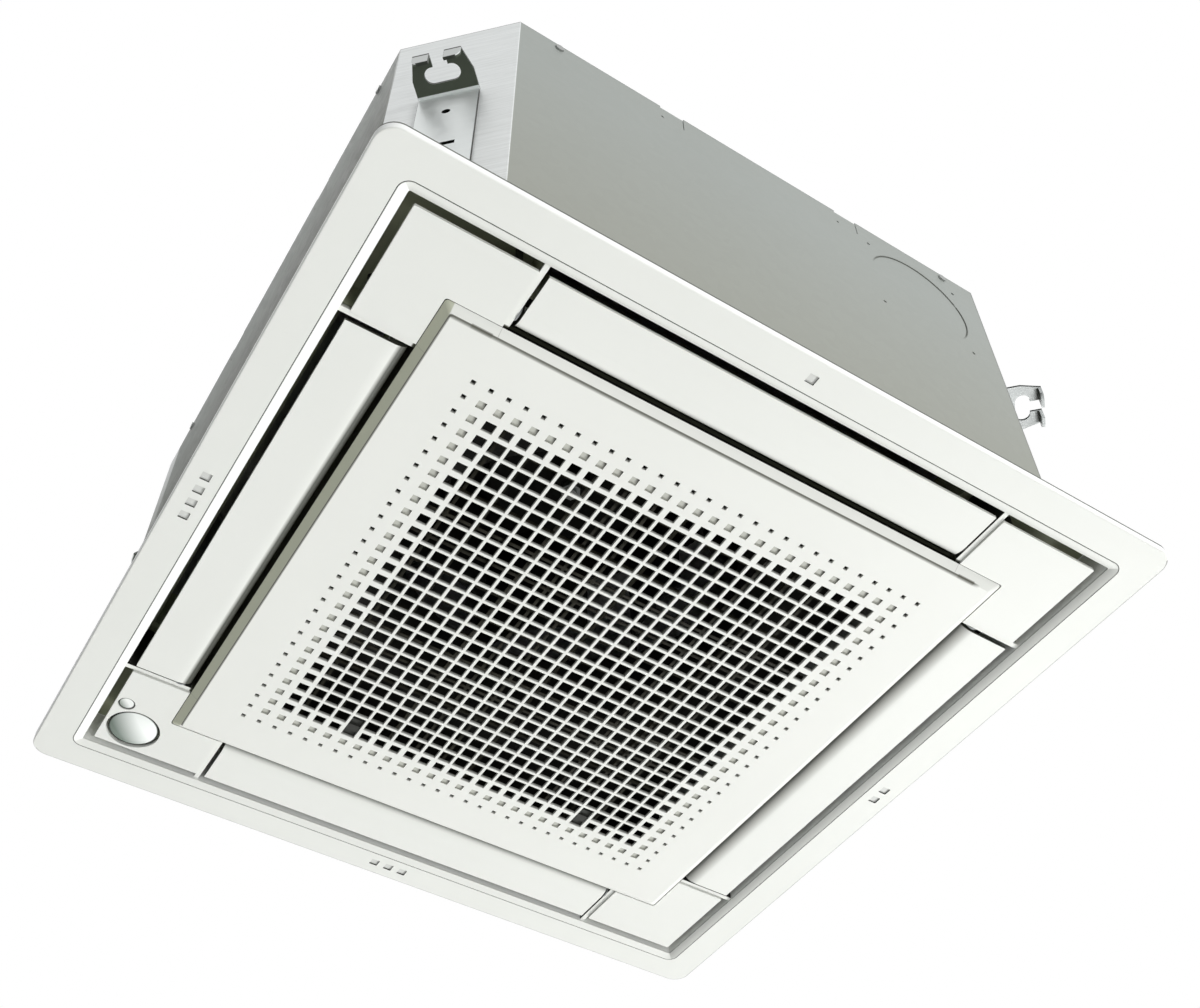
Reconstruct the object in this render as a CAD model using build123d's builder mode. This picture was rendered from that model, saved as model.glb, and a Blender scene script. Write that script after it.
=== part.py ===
from build123d import *
import os
from math import atan2, cos, degrees, radians, sin, sqrt

# Ceiling cassette air conditioner with a flush, square decoration panel and four-way air flaps.
# Millimetres. The ceiling's lower face is z = 0, +Z goes up into the ceiling void, and the origin
# is the centre of the unit. Front is -Y, rear is +Y, left is -X and right is +X. The corner with
# the sensors and the piping is rear left.

# ---------------------------------------------------------------- body and panel, overall
BODY = 575.0  # square steel body, across flats
BODY_H = 260.0
CORNER_CUT = 66.3  # 45 degree corner faces of the body, measured along a side
SHEET = 1.2  # galvanised sheet
PANEL_OVERHANG = 22.5  # panel beyond the body on each side
PANEL_H = 46.0  # grille face to the top of the panel's collar
GRILLE_DROP = 9.4  # grille face below the ceiling
SEAL_T = 6.4  # foam between the panel and the body
SEAL_INSET = 1.8  # outer seal, in from the body's side
SEAL_W = 7.0
GAP = 0.3  # clearance between neighbouring pieces
RUN_FIT = 0.05  # radial clearance of a running fit
SEAT_FIT = 0.03  # radial clearance of a push fit

# ---------------------------------------------------------------- panel cross-section, outside in
PANEL_R = 14.0
FLANGE_W = 25.8  # outer edge to the fine line round the recess
FLANGE_DROP = 7.2  # flange face below the ceiling
FLANGE_EDGE_R = 1.2
LINE_W = 0.6
LINE_DEPTH = 0.5
RECESS_R = 8.0
BEVEL_W = 6.7  # shallow slope round the recess
BEVEL_H = 1.8
MOULD_T = 2.5  # wall of the panel mouldings
LEDGE_W = 7.0  # top edge of the collar, turned out under the foam
SLOT_GAP = 7.0  # dark gap between the recess wall and the plates
PLATE_DROP = 5.2  # face of the flaps and corner covers below the ceiling
PLATE_T = 2.4
FLAP_W = 42.9
FLAP_TO_GRILLE = 3.0
RIB_T = 3.8  # wall at each end of an air slot
RIB_DROP = 3.4
COVER_SIDE = 84.9  # corner cover, along one side
COVER_TO_RIB = 0.3
COVER_TO_GRILLE = 0.6
COVER_R = 2.0
FLAP_END_GAP = 2.9
DECK_UP = 26.0  # cover's upper face to the deck over it

# ---------------------------------------------------------------- flaps, their motors and bushes
NOSE_W, NOSE_H = 12.4, 5.0  # curled inner edge, half an ellipse in section
AXIS_IN, AXIS_UP = 8.2, 7.0  # flap's axis, from its inner edge and above its face
NOSE_END_T = 2.5
PIN_R = 2.5
PIN_L = 8.0
BUSH_R = 4.5
BUSH_HEAD_R = 6.0
BUSH_HEAD_T = 1.2
FLAP_MOTOR_R = 11.5
FLAP_MOTOR_L = 19.0
FLAP_MOTOR_RAISE = 8.0  # motor's middle above the flap's axis
PLUG_W, PLUG_D, PLUG_H = 12.0, 5.0, 8.0

# ---------------------------------------------------------------- corner covers, screws, sensors
POST_R = 2.5
POST_IN = 5.0
POST_END = 12.0
SCREW_IN = 6.4  # panel screw out from the grille's edge
SCREW_END = 28.7  # panel screw in from the end of the air slot
SCREW_R = 2.5
SCREW_HEAD_R = 4.8
SCREW_HEAD_T = 3.0
SCREW_BITE = 6.0
BOSS_R = 6.0
DOME_X, DOME_Y = 23.2, 23.0  # dome centre in from the cover's outer edges
DOME_HOLE_R = 20.8
DOME_R = 19.3
DOME_RISE = 3.6
DOME_SKIRT = 5.0
CUP_R = 17.0
FLOOR_X, FLOOR_Y = 8.5, 48.5
FLOOR_HOLE_R = 6.6
FLOOR_R = 6.3
FLOOR_RISE = 1.4

# ---------------------------------------------------------------- suction grille, filter, latches
GRILLE_EDGE_DROP = 4.8  # the grille's outer edge below the ceiling
GRILLE_SLOPE_W = 6.6
GRILLE_T = 2.5
GRILLE_R = 2.5
GRILLE_RIM_W = 2.6
RING_IN = 1.0  # panel's inner ring wall, in from the grille's outer edge
RING_T = 2.2
RING_LIFT = 1.2  # ring wall above the grille's edge
HOLE_PITCH = 13.0
HOLE_COUNT = 29
HOLE_SIDES = (3.4, 6.0, 8.3)  # the three outer rings of holes, from outside in
HOLE_SIDE = 10.8
BLIND_DEPTH = 1.5  # the second ring is blind
HINGE_X = 196.0
HINGE_IN = 7.6  # hinge axis in from the grille's outer edge
HINGE_UP = 0.3  # hinge axis above the grille's edge
HINGE_PIN_R = 1.3
HOOK_R = 2.8
HOOK_W = 8.0
HOOK_STEM_W = 2.6
HOOK_STEM_L = 10.0
HOOK_LEAN = 60.0
HOOK_ROOM = 0.8
LUG_W = 3.0
LUG_GAP = 0.5
LUG_HALF = 2.4
SWEEP_ROOM = 0.5  # clear of the grille's front edge as it swings
LATCH_COLUMN = 8  # holes from the middle to a latch
LATCH_ROW = 11.5
TAB_L = 7.0
TAB_W = 10.0
TAB_H = 2.0
LATCH_W = 11.0
LATCH_T = 2.4
LATCH_TAIL = 5.0
LATCH_TIP_GAP = 0.5
GUIDE_IN = 13.0
GUIDE_L = 8.0
GUIDE_T = 1.5
GUIDE_SIDE = 0.4
FILTER_HALF = 200.0
FILTER_RIM = 9.0
FILTER_T = 3.0
FILTER_RIB = 2.4
FILTER_CELLS = 4
RIB_SINK = 1.2
NET_T = 0.8
NET_CELLS = 16
NET_STRAND = 2.4
PAD = 11.0

# ---------------------------------------------------------------- marks on the panel
MARK = 7.0
MARK_PITCH = 13.0
MARK_DEPTH = 1.2
MARK_IN = 14.0
MARK_COUNTS = {"front": 1, "right": 2, "rear": 3, "left": 4}

# ---------------------------------------------------------------- body details
FLOOR_LIP = 12.0  # bottom edge of the shell, turned in
CORNER_TAB = 75.5
LID_DROP = 2.8  # lid below the shell's upper edge
LID_RIM = 12.0
NOTCH_X = 85.0  # notch in the upper edge, each side of the middle
NOTCH_W = 21.6
NOTCH_H = 2.8
SLIT_H = 16.0
SLIT_W = 0.8
PILOT_R = 1.2
PILOT_DROP = 17.6
LID_SCREW_X = 187.0
LID_SCREW_DROP = 7.0
LID_SCREW_R = 1.6
LID_SCREW_L = 6.0
LID_SCREW_HEAD_R = 3.6
LID_SCREW_HEAD_T = 1.6
KNOCKOUT_X = 150.0
KNOCKOUT_DROP = 69.0
KNOCKOUT_R = 48.0
KNOCKOUT_PRESS = 0.6
COLLAR_X, COLLAR_Z = 89.2, 88.5  # pilot holes for an air duct's collar
COLLAR_HOLE_R = 1.6
WING_L = 22.8  # the left sheet runs on past the piping corner
WING_RETURN = 10.5

# ---------------------------------------------------------------- hanger brackets
HANGER_PITCH = 533.0
BRACKET_W = 44.0
BRACKET_T = 2.3
BRACKET_H = 134.0
EAR_UP = 151.0  # underside of the ear above the body's lower edge
EAR_REACH = 15.3  # ear beyond the slot's centre
EAR_TIP_W = 34.4
EAR_TAPER_AT = 16.0
EAR_SLOT_L, EAR_SLOT_W = 25.6, 12.0
EAR_MOUTH = 10.8
EAR_LIP = 11.0
LIP_R = 5.5  # its lower outer corner
BRACKET_HOLE_R = 3.0
BRACKET_HOLE_DROP = 28.0
TAB_SLOT_W, TAB_SLOT_H = 19.0, 4.5
TAB_SLOT_DROP = 78.0

# ---------------------------------------------------------------- drain pan, coil and insulation
PAN_H = 37.0
SLOT_IN, SLOT_OUT = 228.0, 268.0
SLOT_HALF_L = 178.0
TROUGH_DEPTH = 14.0
TROUGH_ROOM = 6.0
LINER_T = 10.5
TOP_LINER_T = 11.5
TOP_LINER_HOLE_R = 92.0
COIL_IN, COIL_OUT = 182.0, 208.0
COIL_BEND_R = 40.0
COIL_END = 150.0
END_PLATE_T = 2.0
END_PLATE_SIDE = 2.5
BEND_R = 8.0
TUBE_R = 3.5
BEND_ROWS = 7
BEND_PITCH = 28.0
BEND_START = 24.0

# ---------------------------------------------------------------- fan, motor and bell mouth
FAN_R = 166.0
FAN_PLATE_T = 2.5
FAN_INLET_R = 146.0
FAN_H = 150.5
SHROUD_H = 34.0
CUP_FLOOR = 53.5  # hub floor below the fan's back plate
CUP_LOW_R, CUP_HIGH_R = 68.0, 76.0
BLADES = 7
BLADE_T = 3.0
BLADE_IN_R = 108.0
BLADE_ARC_R = 95.0
BLADE_SWEEP = 38.0  # degrees round the axis from a blade's inner to its outer edge
BLADE_CUT_UP = 17.0
HUB_R, HUB_H = 16.0, 18.0
SHAFT_R = 5.0
MOTOR_R = 60.0
MOTOR_H = 66.0
MOTOR_TO_LID = 9.0
MOTOR_TO_CUP = 7.5
LUG_PLATE_T = 3.0
LUG_R = 74.0
LUG_END_R = 9.0
BUSHING_R = 8.0
SHAFT_IN_MOTOR = 40.0
SHAFT_BELOW = 10.0
NUT_H, NUT_R = 7.0, 9.0
BELL_PLATE_T = 2.5
BELL_HALF = 215.0
BELL_TO_FAN = 5.0
BELL_LAP = 8.0
BELL_T = 2.0
BELL_FLARE_W, BELL_FLARE_H = 26.0, 50.0

# ---------------------------------------------------------------- piping corner
PIPE_X = 188.0
GAS_R, LIQUID_R = 6.35, 3.2
GAS_UP, LIQUID_UP = 169.0, 140.0  # pipes above the body's lower edge
PIPE_OUT = 8.0
PIPE_WALL = 1.0
UNION_L = 24.0
UNION_HEX_L = 9.0
GAS_HEX_R, LIQUID_HEX_R = 14.0, 9.0
GAS_THREAD_R, LIQUID_THREAD_R = 11.1, 5.5
PIPE_PLATE_W, PIPE_PLATE_H = 44.0, 76.0
PIPE_PLATE_LAP = 5.0
PUMP_AT = 222.0  # pump's axis from the middle, along X and Y
PUMP_R = 22.0
PUMP_MOTOR_R = 14.0
PUMP_UP = 30.0
PUMP_BODY_H = 18.0
PUMP_MOTOR_H = 30.0
CAVITY_R, CAVITY_H = 16.0, 12.0
STEM_R, STEM_BORE = 8.0, 5.0
STEM_GAP = 3.0
SPIGOT_R = 6.0
SPIGOT_H = 14.0
SPIGOT_DX, SPIGOT_DY = 18.0, 17.3
IMPELLER_R, IMPELLER_T = 14.0, 2.0
VANE_H = 6.0
IMPELLER_SHAFT_R = 1.5
ARM_W, ARM_T = 9.0, 3.0
FLOAT_DX, FLOAT_DY = 27.0, 42.0
FLOAT_R, FLOAT_H = 9.0, 12.0
FLOAT_STEM_R = 2.0
FLOAT_STEM_L = 40.0
HOSE_WALL = 2.0
HOSE_UP = 208.0
HOSE_BEND = 16.0
SOCKET_R = 13.0
SOCKET_L = 22.0
SOCKET_FLANGE_R = 15.5
SOCKET_FLANGE_T = 2.0
DRAIN_PLUG_AT = 240.0  # plug's axis from the middle, along X and Y
DRAIN_PLUG_R = 8.0
DRAIN_PLUG_HEAD_R = 11.0
DRAIN_PLUG_HEAD_T = 2.0
GROMMET_Y, GROMMET_UP = 120.0, 56.0
GROMMET_R, GROMMET_BORE = 11.0, 8.0
GROMMET_HEAD_R, GROMMET_HEAD_T = 14.0, 2.0

# ---------------------------------------------------------------- control box
BOX_TO_RING = 7.0
BOX_W, BOX_L, BOX_H = 32.0, 300.0, 26.0
BOX_T = 1.2
BOARD_T = 1.6
BOARD_MARGIN = 2.0
STANDOFF_H = 8.0
STANDOFF_R = 2.5
TERMINAL_W, TERMINAL_L, TERMINAL_H = 14.0, 46.0, 8.0
CAPACITOR_R, CAPACITOR_H = 6.0, 9.0

# ================================================================ places that follow from the sizes
PANEL_HALF = BODY / 2 + PANEL_OVERHANG
FACE_Z = -GRILLE_DROP
PANEL_TOP = FACE_Z + PANEL_H
BODY_Z = PANEL_TOP + SEAL_T
BODY_TOP = BODY_Z + BODY_H
LINE_HALF = PANEL_HALF - FLANGE_W
COLLAR_IN = LINE_HALF - BEVEL_W
COLLAR_OUT = COLLAR_IN + MOULD_T
BEVEL_TOP = -FLANGE_DROP + BEVEL_H
BEVEL_TAPER = degrees(atan2(BEVEL_W, BEVEL_H))
PLATE_HALF = COLLAR_IN - SLOT_GAP
PLATE_Z = -PLATE_DROP
PLATE_TOP = PLATE_Z + PLATE_T
DECK_Z = PLATE_TOP + DECK_UP
NOSE_OUT = PLATE_HALF - FLAP_W + NOSE_W
NOSE_Z = PLATE_Z + NOSE_H
AXIS_OUT = PLATE_HALF - FLAP_W + AXIS_IN
AXIS_Z = PLATE_Z + AXIS_UP
GRILLE_HALF = PLATE_HALF - FLAP_W - FLAP_TO_GRILLE
EDGE_Z = -GRILLE_EDGE_DROP
SLOPE_H = EDGE_Z - FACE_Z
RING_OUT = GRILLE_HALF - RING_IN
RING_WALL_IN = RING_OUT - RING_T
RING_Z = EDGE_Z + RING_LIFT
COVER_START = PLATE_HALF - COVER_SIDE
RIB_END = COVER_START - COVER_TO_RIB
RIB_START = RIB_END - RIB_T
FLAP_HALF_L = RIB_START - FLAP_END_GAP
SCREW_A = GRILLE_HALF + SCREW_IN
SCREW_B = RIB_END + SCREW_END
GRILLE_TOP = FACE_Z + GRILLE_T
HINGE_OUT = GRILLE_HALF - HINGE_IN
HINGE_Z = EDGE_Z + HINGE_UP
LATCH_X = LATCH_COLUMN * HOLE_PITCH
LATCH_Y = LATCH_ROW * HOLE_PITCH
LATCH_Z = GRILLE_TOP + GAP
FILTER_Z = LATCH_Z + LATCH_T + GAP + GUIDE_SIDE
INSIDE = BODY / 2 - SHEET
LID_TOP = BODY_TOP - LID_DROP
LID_UNDER = LID_TOP - SHEET
LID_SCREW_Z = BODY_TOP - LID_SCREW_DROP
LID_SCREW_PLACES = [(-LID_SCREW_X, LID_SCREW_Z), (LID_SCREW_X, LID_SCREW_Z)]
PAN_TOP = BODY_Z + PAN_H
TROUGH_Z = PAN_TOP - TROUGH_DEPTH
COIL_TOP = LID_UNDER - TOP_LINER_T
BELL_Z = BODY_Z - BELL_PLATE_T
MOTOR_TOP = LID_UNDER - MOTOR_TO_LID
MOTOR_Z = MOTOR_TOP - MOTOR_H
CUP_Z = MOTOR_Z - MOTOR_TO_CUP
FAN_TOP = CUP_Z + CUP_FLOOR
FAN_Z = FAN_TOP - FAN_H
BELL_R = FAN_INLET_R - BELL_TO_FAN
BELL_TOP = FAN_Z + BELL_LAP
GAS_Z, LIQUID_Z = BODY_Z + GAS_UP, BODY_Z + LIQUID_UP
HOSE_Z = BODY_Z + HOSE_UP
HOSE_R = SPIGOT_R + RUN_FIT + HOSE_WALL
PUMP_Z = TROUGH_Z + PUMP_UP
PUMP_TOP = PUMP_Z + PUMP_BODY_H
SPIGOT_AT = (-PUMP_AT + SPIGOT_DX, PUMP_AT + SPIGOT_DY)
FLOAT_AT = (-PUMP_AT + FLOAT_DX, PUMP_AT - FLOAT_DY)
DOME_AT = (-(PLATE_HALF - DOME_X), PLATE_HALF - DOME_Y)
FLOOR_AT = (-(PLATE_HALF - FLOOR_X), PLATE_HALF - FLOOR_Y)
BOX_X = RING_WALL_IN - BOX_TO_RING - BOX_W / 2
EAR_Z = BODY_Z + EAR_UP
CORNER_OUT = (BODY - CORNER_CUT) / sqrt(2)  # corner face from the middle, along the diagonal
EAR_SLOT_OUT = HANGER_PITCH / sqrt(2) - CORNER_OUT

CORNERS = {"front_left": (-1, -1), "front_right": (1, -1), "rear_right": (1, 1), "rear_left": (-1, 1)}
SIDES = {"front": (0, -1), "right": (1, 0), "rear": (0, 1), "left": (-1, 0)}

os.makedirs("parts", exist_ok=True)


def level(z):
    return Plane.XY.offset(z)


def section(side, along=0.0):
    """Upright plane across one side of the unit: local x is outwards, local y is up."""
    out = Vector(side[0], side[1], 0)
    return Plane(origin=(0, 0, 0), x_dir=out, z_dir=out.cross(Vector(0, 0, 1))).offset(along)


def face_plane(side, out):
    """Upright plane parallel to one side: local x is level, local y is up, normal outwards."""
    normal = Vector(side[0], side[1], 0)
    return Plane(origin=normal * out, x_dir=Vector(0, 0, 1).cross(normal), z_dir=normal)


def corner_plane(corner, z):
    """Level plane at a corner face: local x runs along the face and local y points outwards."""
    normal = Vector(corner[0], corner[1], 0).normalized()
    origin = normal * CORNER_OUT + Vector(0, 0, z)
    return Plane(origin=origin, x_dir=normal.cross(Vector(0, 0, 1)), z_dir=(0, 0, 1))


def corner_face(corner, out):
    """Upright plane on a corner face: local x is level, local y is height above the ceiling."""
    normal = Vector(corner[0], corner[1], 0).normalized()
    return Plane(origin=normal * (CORNER_OUT + out), x_dir=Vector(0, 0, 1).cross(normal), z_dir=normal)


def octagon(inset=0.0):
    """Corner points of the body's outline, moved in by inset on all eight faces."""
    half = BODY / 2 - inset
    flat = half - CORNER_CUT + inset * (2 - sqrt(2))
    points = [(half, -flat), (half, flat), (flat, half), (-flat, half)]
    return points + [(-x, -y) for x, y in points]


def square(half, radius=0.0, mode=Mode.ADD):
    if radius > 0:
        RectangleRounded(2 * half, 2 * half, radius, mode=mode)
    else:
        Rectangle(2 * half, 2 * half, mode=mode)


def hole_ring(ring):
    """Places of the square ring of grille holes that is this many rows in from the outer ring."""
    last = (HOLE_COUNT - 1) / 2 - ring
    steps = [i - last for i in range(int(2 * last) + 1)]
    edge = [(i, j) for i in steps for j in steps if max(abs(i), abs(j)) == last]
    return [(i * HOLE_PITCH, j * HOLE_PITCH) for i, j in edge]


def lip_outline(room=0.0):
    """The turned-in lower edge of the shell with its corner tabs, grown by room."""
    Polygon(*octagon(), align=None)
    square(BODY / 2 - FLOOR_LIP - room, mode=Mode.SUBTRACT)
    middle = BODY / 2 - FLOOR_LIP - CORNER_TAB / 2
    with GridLocations(2 * middle, 2 * middle, 2, 2):
        Rectangle(CORNER_TAB + 2 * room, CORNER_TAB + 2 * room)
    Polygon(*octagon(), align=None, mode=Mode.INTERSECT)


# ================================================================ steel body
# Shell: eight-sided wall of folded sheet with its lower edge turned in, notches in the upper
# edge, a half-sheared knock-out for a fresh air duct and openings for the piping.
with BuildPart() as cabinet_shell:
    with BuildSketch(level(BODY_Z)):
        Polygon(*octagon(), align=None)
        Polygon(*octagon(SHEET), align=None, mode=Mode.SUBTRACT)
        with Locations((-BODY / 2 + SHEET / 2, BODY / 2 - CORNER_CUT + WING_L / 2)):
            Rectangle(SHEET, WING_L)
        wing_end = BODY / 2 - CORNER_CUT + WING_L
        with Locations((-BODY / 2 + WING_RETURN / 2, wing_end - SHEET / 2)):
            Rectangle(WING_RETURN, SHEET)
    extrude(amount=BODY_H)
    with BuildSketch(level(BODY_Z)):
        lip_outline()
        with Locations(*[(x * SCREW_A, y * SCREW_B) for x, y in CORNERS.values()]):
            Circle(SCREW_R + GAP, mode=Mode.SUBTRACT)
        with Locations((-DRAIN_PLUG_AT, DRAIN_PLUG_AT)):
            Circle(DRAIN_PLUG_R + GAP, mode=Mode.SUBTRACT)
    extrude(amount=SHEET)
    for name, side in SIDES.items():
        with BuildSketch(face_plane(side, BODY / 2)):
            for x in (-NOTCH_X, NOTCH_X):
                with Locations((x, BODY_TOP - NOTCH_H / 2)):
                    Rectangle(NOTCH_W, NOTCH_H)
                with Locations((x + NOTCH_W / 2 - SLIT_W / 2, BODY_TOP - NOTCH_H - SLIT_H / 2)):
                    Rectangle(SLIT_W, SLIT_H)
                with Locations((x - NOTCH_W / 2 + PILOT_R, BODY_TOP - PILOT_DROP)):
                    Circle(PILOT_R)
            with Locations(*LID_SCREW_PLACES):
                Circle(LID_SCREW_R + GAP)
        extrude(amount=-SHEET, mode=Mode.SUBTRACT)
    with BuildSketch(face_plane(SIDES["front"], BODY / 2)):
        with Locations((KNOCKOUT_X, BODY_TOP - KNOCKOUT_DROP)):
            Circle(KNOCKOUT_R)
    extrude(amount=-KNOCKOUT_PRESS, mode=Mode.SUBTRACT)
    with BuildSketch(face_plane(SIDES["front"], INSIDE)):
        with Locations((KNOCKOUT_X, BODY_TOP - KNOCKOUT_DROP)):
            Circle(KNOCKOUT_R)
    extrude(amount=-KNOCKOUT_PRESS)
    with BuildSketch(face_plane(SIDES["front"], BODY / 2)):
        with Locations((KNOCKOUT_X, BODY_TOP - KNOCKOUT_DROP)):
            with GridLocations(COLLAR_X, COLLAR_Z, 2, 2):
                Circle(COLLAR_HOLE_R)
    extrude(amount=-SHEET, mode=Mode.SUBTRACT)
    with BuildSketch(face_plane(SIDES["rear"], BODY / 2)):
        with Locations((PIPE_X, (GAS_Z + LIQUID_Z) / 2)):
            Rectangle(PIPE_PLATE_W - 2 * PIPE_PLATE_LAP, PIPE_PLATE_H - 2 * PIPE_PLATE_LAP)
        with Locations((-SPIGOT_AT[0], HOSE_Z)):
            Circle(HOSE_R + GAP)
    extrude(amount=-SHEET, mode=Mode.SUBTRACT)
    with BuildSketch(face_plane(SIDES["right"], BODY / 2)):
        with Locations((GROMMET_Y, BODY_Z + GROMMET_UP)):
            Circle(GROMMET_R + SEAT_FIT)
    extrude(amount=-SHEET, mode=Mode.SUBTRACT)
cabinet_shell.part.label = "cabinet_shell"
export_step(cabinet_shell.part, "parts/cabinet_shell.step")

# Lid: a flat sheet a little below the shell's upper edge, its rim turned down inside the wall.
with BuildPart() as cabinet_lid:
    with BuildSketch(level(LID_UNDER)):
        Polygon(*octagon(SHEET), align=None)
    extrude(amount=SHEET)
    with BuildSketch(level(LID_TOP - LID_RIM)):
        Polygon(*octagon(SHEET), align=None)
        Polygon(*octagon(2 * SHEET), align=None, mode=Mode.SUBTRACT)
    extrude(amount=LID_RIM - SHEET)
    for side in SIDES.values():
        with BuildSketch(face_plane(side, INSIDE)):
            with Locations(*LID_SCREW_PLACES):
                Circle(LID_SCREW_R + SEAT_FIT)
        extrude(amount=-SHEET, mode=Mode.SUBTRACT)
cabinet_lid.part.label = "cabinet_lid"
export_step(cabinet_lid.part, "parts/cabinet_lid.step")

# Screws through the shell into the lid's rim, two on each side.
with BuildPart() as lid_screws:
    for side in SIDES.values():
        with BuildSketch(face_plane(side, BODY / 2)):
            with Locations(*LID_SCREW_PLACES):
                Circle(LID_SCREW_HEAD_R)
        extrude(amount=LID_SCREW_HEAD_T)
        with BuildSketch(face_plane(side, BODY / 2)):
            with Locations(*LID_SCREW_PLACES):
                Circle(LID_SCREW_R)
        extrude(amount=-LID_SCREW_L)
lid_screws.part.label = "lid_screws"
export_step(lid_screws.part, "parts/lid_screws.step")


# Hanger brackets: a plate on each corner face, and an ear with an open slot for a hanging bolt,
# its two tips turned down.
def make_bracket(name, corner):
    with BuildPart() as bracket:
        with BuildSketch(corner_face(corner, 0)):
            with Locations((0, EAR_Z + BRACKET_T - BRACKET_H / 2)):
                Rectangle(BRACKET_W, BRACKET_H)
            with Locations((0, EAR_Z - BRACKET_HOLE_DROP)):
                Circle(BRACKET_HOLE_R, mode=Mode.SUBTRACT)
            with Locations((0, EAR_Z - TAB_SLOT_DROP)):
                Rectangle(TAB_SLOT_W, TAB_SLOT_H, mode=Mode.SUBTRACT)
        extrude(amount=BRACKET_T)
        reach = EAR_SLOT_OUT + EAR_REACH
        with BuildSketch(corner_plane(corner, EAR_Z)):
            half, tip = BRACKET_W / 2, EAR_TIP_W / 2
            Polygon((-half, 0), (half, 0), (half, EAR_TAPER_AT), (tip, reach), (-tip, reach),
                    (-half, EAR_TAPER_AT), align=None)
            with Locations((0, EAR_SLOT_OUT)):
                SlotOverall(EAR_SLOT_L, EAR_SLOT_W, mode=Mode.SUBTRACT)
            with Locations((0, EAR_SLOT_OUT + EAR_REACH / 2)):
                Rectangle(EAR_MOUTH, EAR_REACH, mode=Mode.SUBTRACT)
        extrude(amount=BRACKET_T)
        lip_w = (EAR_TIP_W - EAR_MOUTH) / 2
        with BuildSketch(corner_face(corner, reach - BRACKET_T)):
            for way in (-1, 1):
                with Locations((way * (EAR_MOUTH + lip_w) / 2, EAR_Z - (EAR_LIP - LIP_R) / 2)):
                    Rectangle(lip_w, EAR_LIP - LIP_R)
                with Locations((way * (EAR_MOUTH + lip_w - LIP_R) / 2, EAR_Z - EAR_LIP + LIP_R / 2)):
                    Rectangle(lip_w - LIP_R, LIP_R)
                with Locations((way * (EAR_TIP_W / 2 - LIP_R), EAR_Z - EAR_LIP + LIP_R)):
                    Circle(LIP_R)
        extrude(amount=BRACKET_T)
    bracket.part.label = "hanger_bracket_" + name
    export_step(bracket.part, "parts/hanger_bracket_" + name + ".step")


for corner_name, corner_signs in CORNERS.items():
    make_bracket(corner_name, corner_signs)

# Foam lining of the side walls, standing on the drain pan.
with BuildPart() as side_insulation:
    with BuildSketch(level(PAN_TOP + GAP)):
        Polygon(*octagon(SHEET + KNOCKOUT_PRESS + GAP), align=None)
        Polygon(*octagon(SHEET + KNOCKOUT_PRESS + GAP + LINER_T), align=None, mode=Mode.SUBTRACT)
    extrude(amount=LID_TOP - LID_RIM - GAP - PAN_TOP - GAP)
    with BuildSketch(face_plane(SIDES["rear"], INSIDE)):
        with Locations((PIPE_X, (GAS_Z + LIQUID_Z) / 2)):
            Rectangle(PIPE_PLATE_W - 2 * PIPE_PLATE_LAP, PIPE_PLATE_H - 2 * PIPE_PLATE_LAP)
        with Locations((-SPIGOT_AT[0], HOSE_Z)):
            Circle(HOSE_R + GAP)
    extrude(amount=-2 * LINER_T, mode=Mode.SUBTRACT)
    with BuildSketch(face_plane(SIDES["right"], INSIDE)):
        with Locations((GROMMET_Y, BODY_Z + GROMMET_UP)):
            Circle(GROMMET_R + GAP)
    extrude(amount=-2 * LINER_T, mode=Mode.SUBTRACT)
side_insulation.part.label = "side_insulation"
export_step(side_insulation.part, "parts/side_insulation.step")

# Foam lining under the lid, open round the fan motor's feet.
with BuildPart() as top_insulation:
    with BuildSketch(level(LID_UNDER - TOP_LINER_T)):
        Polygon(*octagon(2 * SHEET + GAP + LINER_T), align=None)
        Circle(TOP_LINER_HOLE_R, mode=Mode.SUBTRACT)
    extrude(amount=TOP_LINER_T)
top_insulation.part.label = "top_insulation"
export_step(top_insulation.part, "parts/top_insulation.step")

# ================================================================ drain pan and heat exchanger
# Foam drain pan: it fills the bottom of the body round the bell mouth, with the four air slots,
# a trough under the coil and a sump in the piping corner.
with BuildPart() as drain_pan:
    with BuildSketch(level(BODY_Z)):
        Polygon(*octagon(SHEET + GAP), align=None)
        Circle(BELL_R + BELL_FLARE_W + BELL_T + GAP, mode=Mode.SUBTRACT)
        for side in SIDES.values():
            middle = (SLOT_IN + SLOT_OUT) / 2
            with Locations((side[0] * middle, side[1] * middle)):
                long_x = abs(side[1]) * 2 * SLOT_HALF_L + abs(side[0]) * (SLOT_OUT - SLOT_IN)
                long_y = abs(side[0]) * 2 * SLOT_HALF_L + abs(side[1]) * (SLOT_OUT - SLOT_IN)
                Rectangle(long_x, long_y, mode=Mode.SUBTRACT)
        with Locations((-DRAIN_PLUG_AT, DRAIN_PLUG_AT)):
            Circle(DRAIN_PLUG_R + SEAT_FIT, mode=Mode.SUBTRACT)
    extrude(amount=PAN_H)
    with BuildSketch(level(BODY_Z)):
        lip_outline(GAP)
    extrude(amount=SHEET, mode=Mode.SUBTRACT)
    with BuildSketch(level(BODY_Z)):
        with Locations(*[(x * SCREW_A, y * SCREW_B) for x, y in CORNERS.values()]):
            Circle(SCREW_R + GAP)
    extrude(amount=SHEET + SCREW_BITE + GAP, mode=Mode.SUBTRACT)
    with BuildSketch(level(TROUGH_Z)):
        square(COIL_OUT + TROUGH_ROOM)
        square(COIL_IN - TROUGH_ROOM, mode=Mode.SUBTRACT)
        with Locations((-PUMP_AT, PUMP_AT)):
            Rectangle(2 * PUMP_R + 2 * TROUGH_ROOM, 2 * PUMP_R + 2 * TROUGH_ROOM)
    extrude(amount=TROUGH_DEPTH, mode=Mode.SUBTRACT)
drain_pan.part.label = "drain_pan"
export_step(drain_pan.part, "parts/drain_pan.step")

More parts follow.
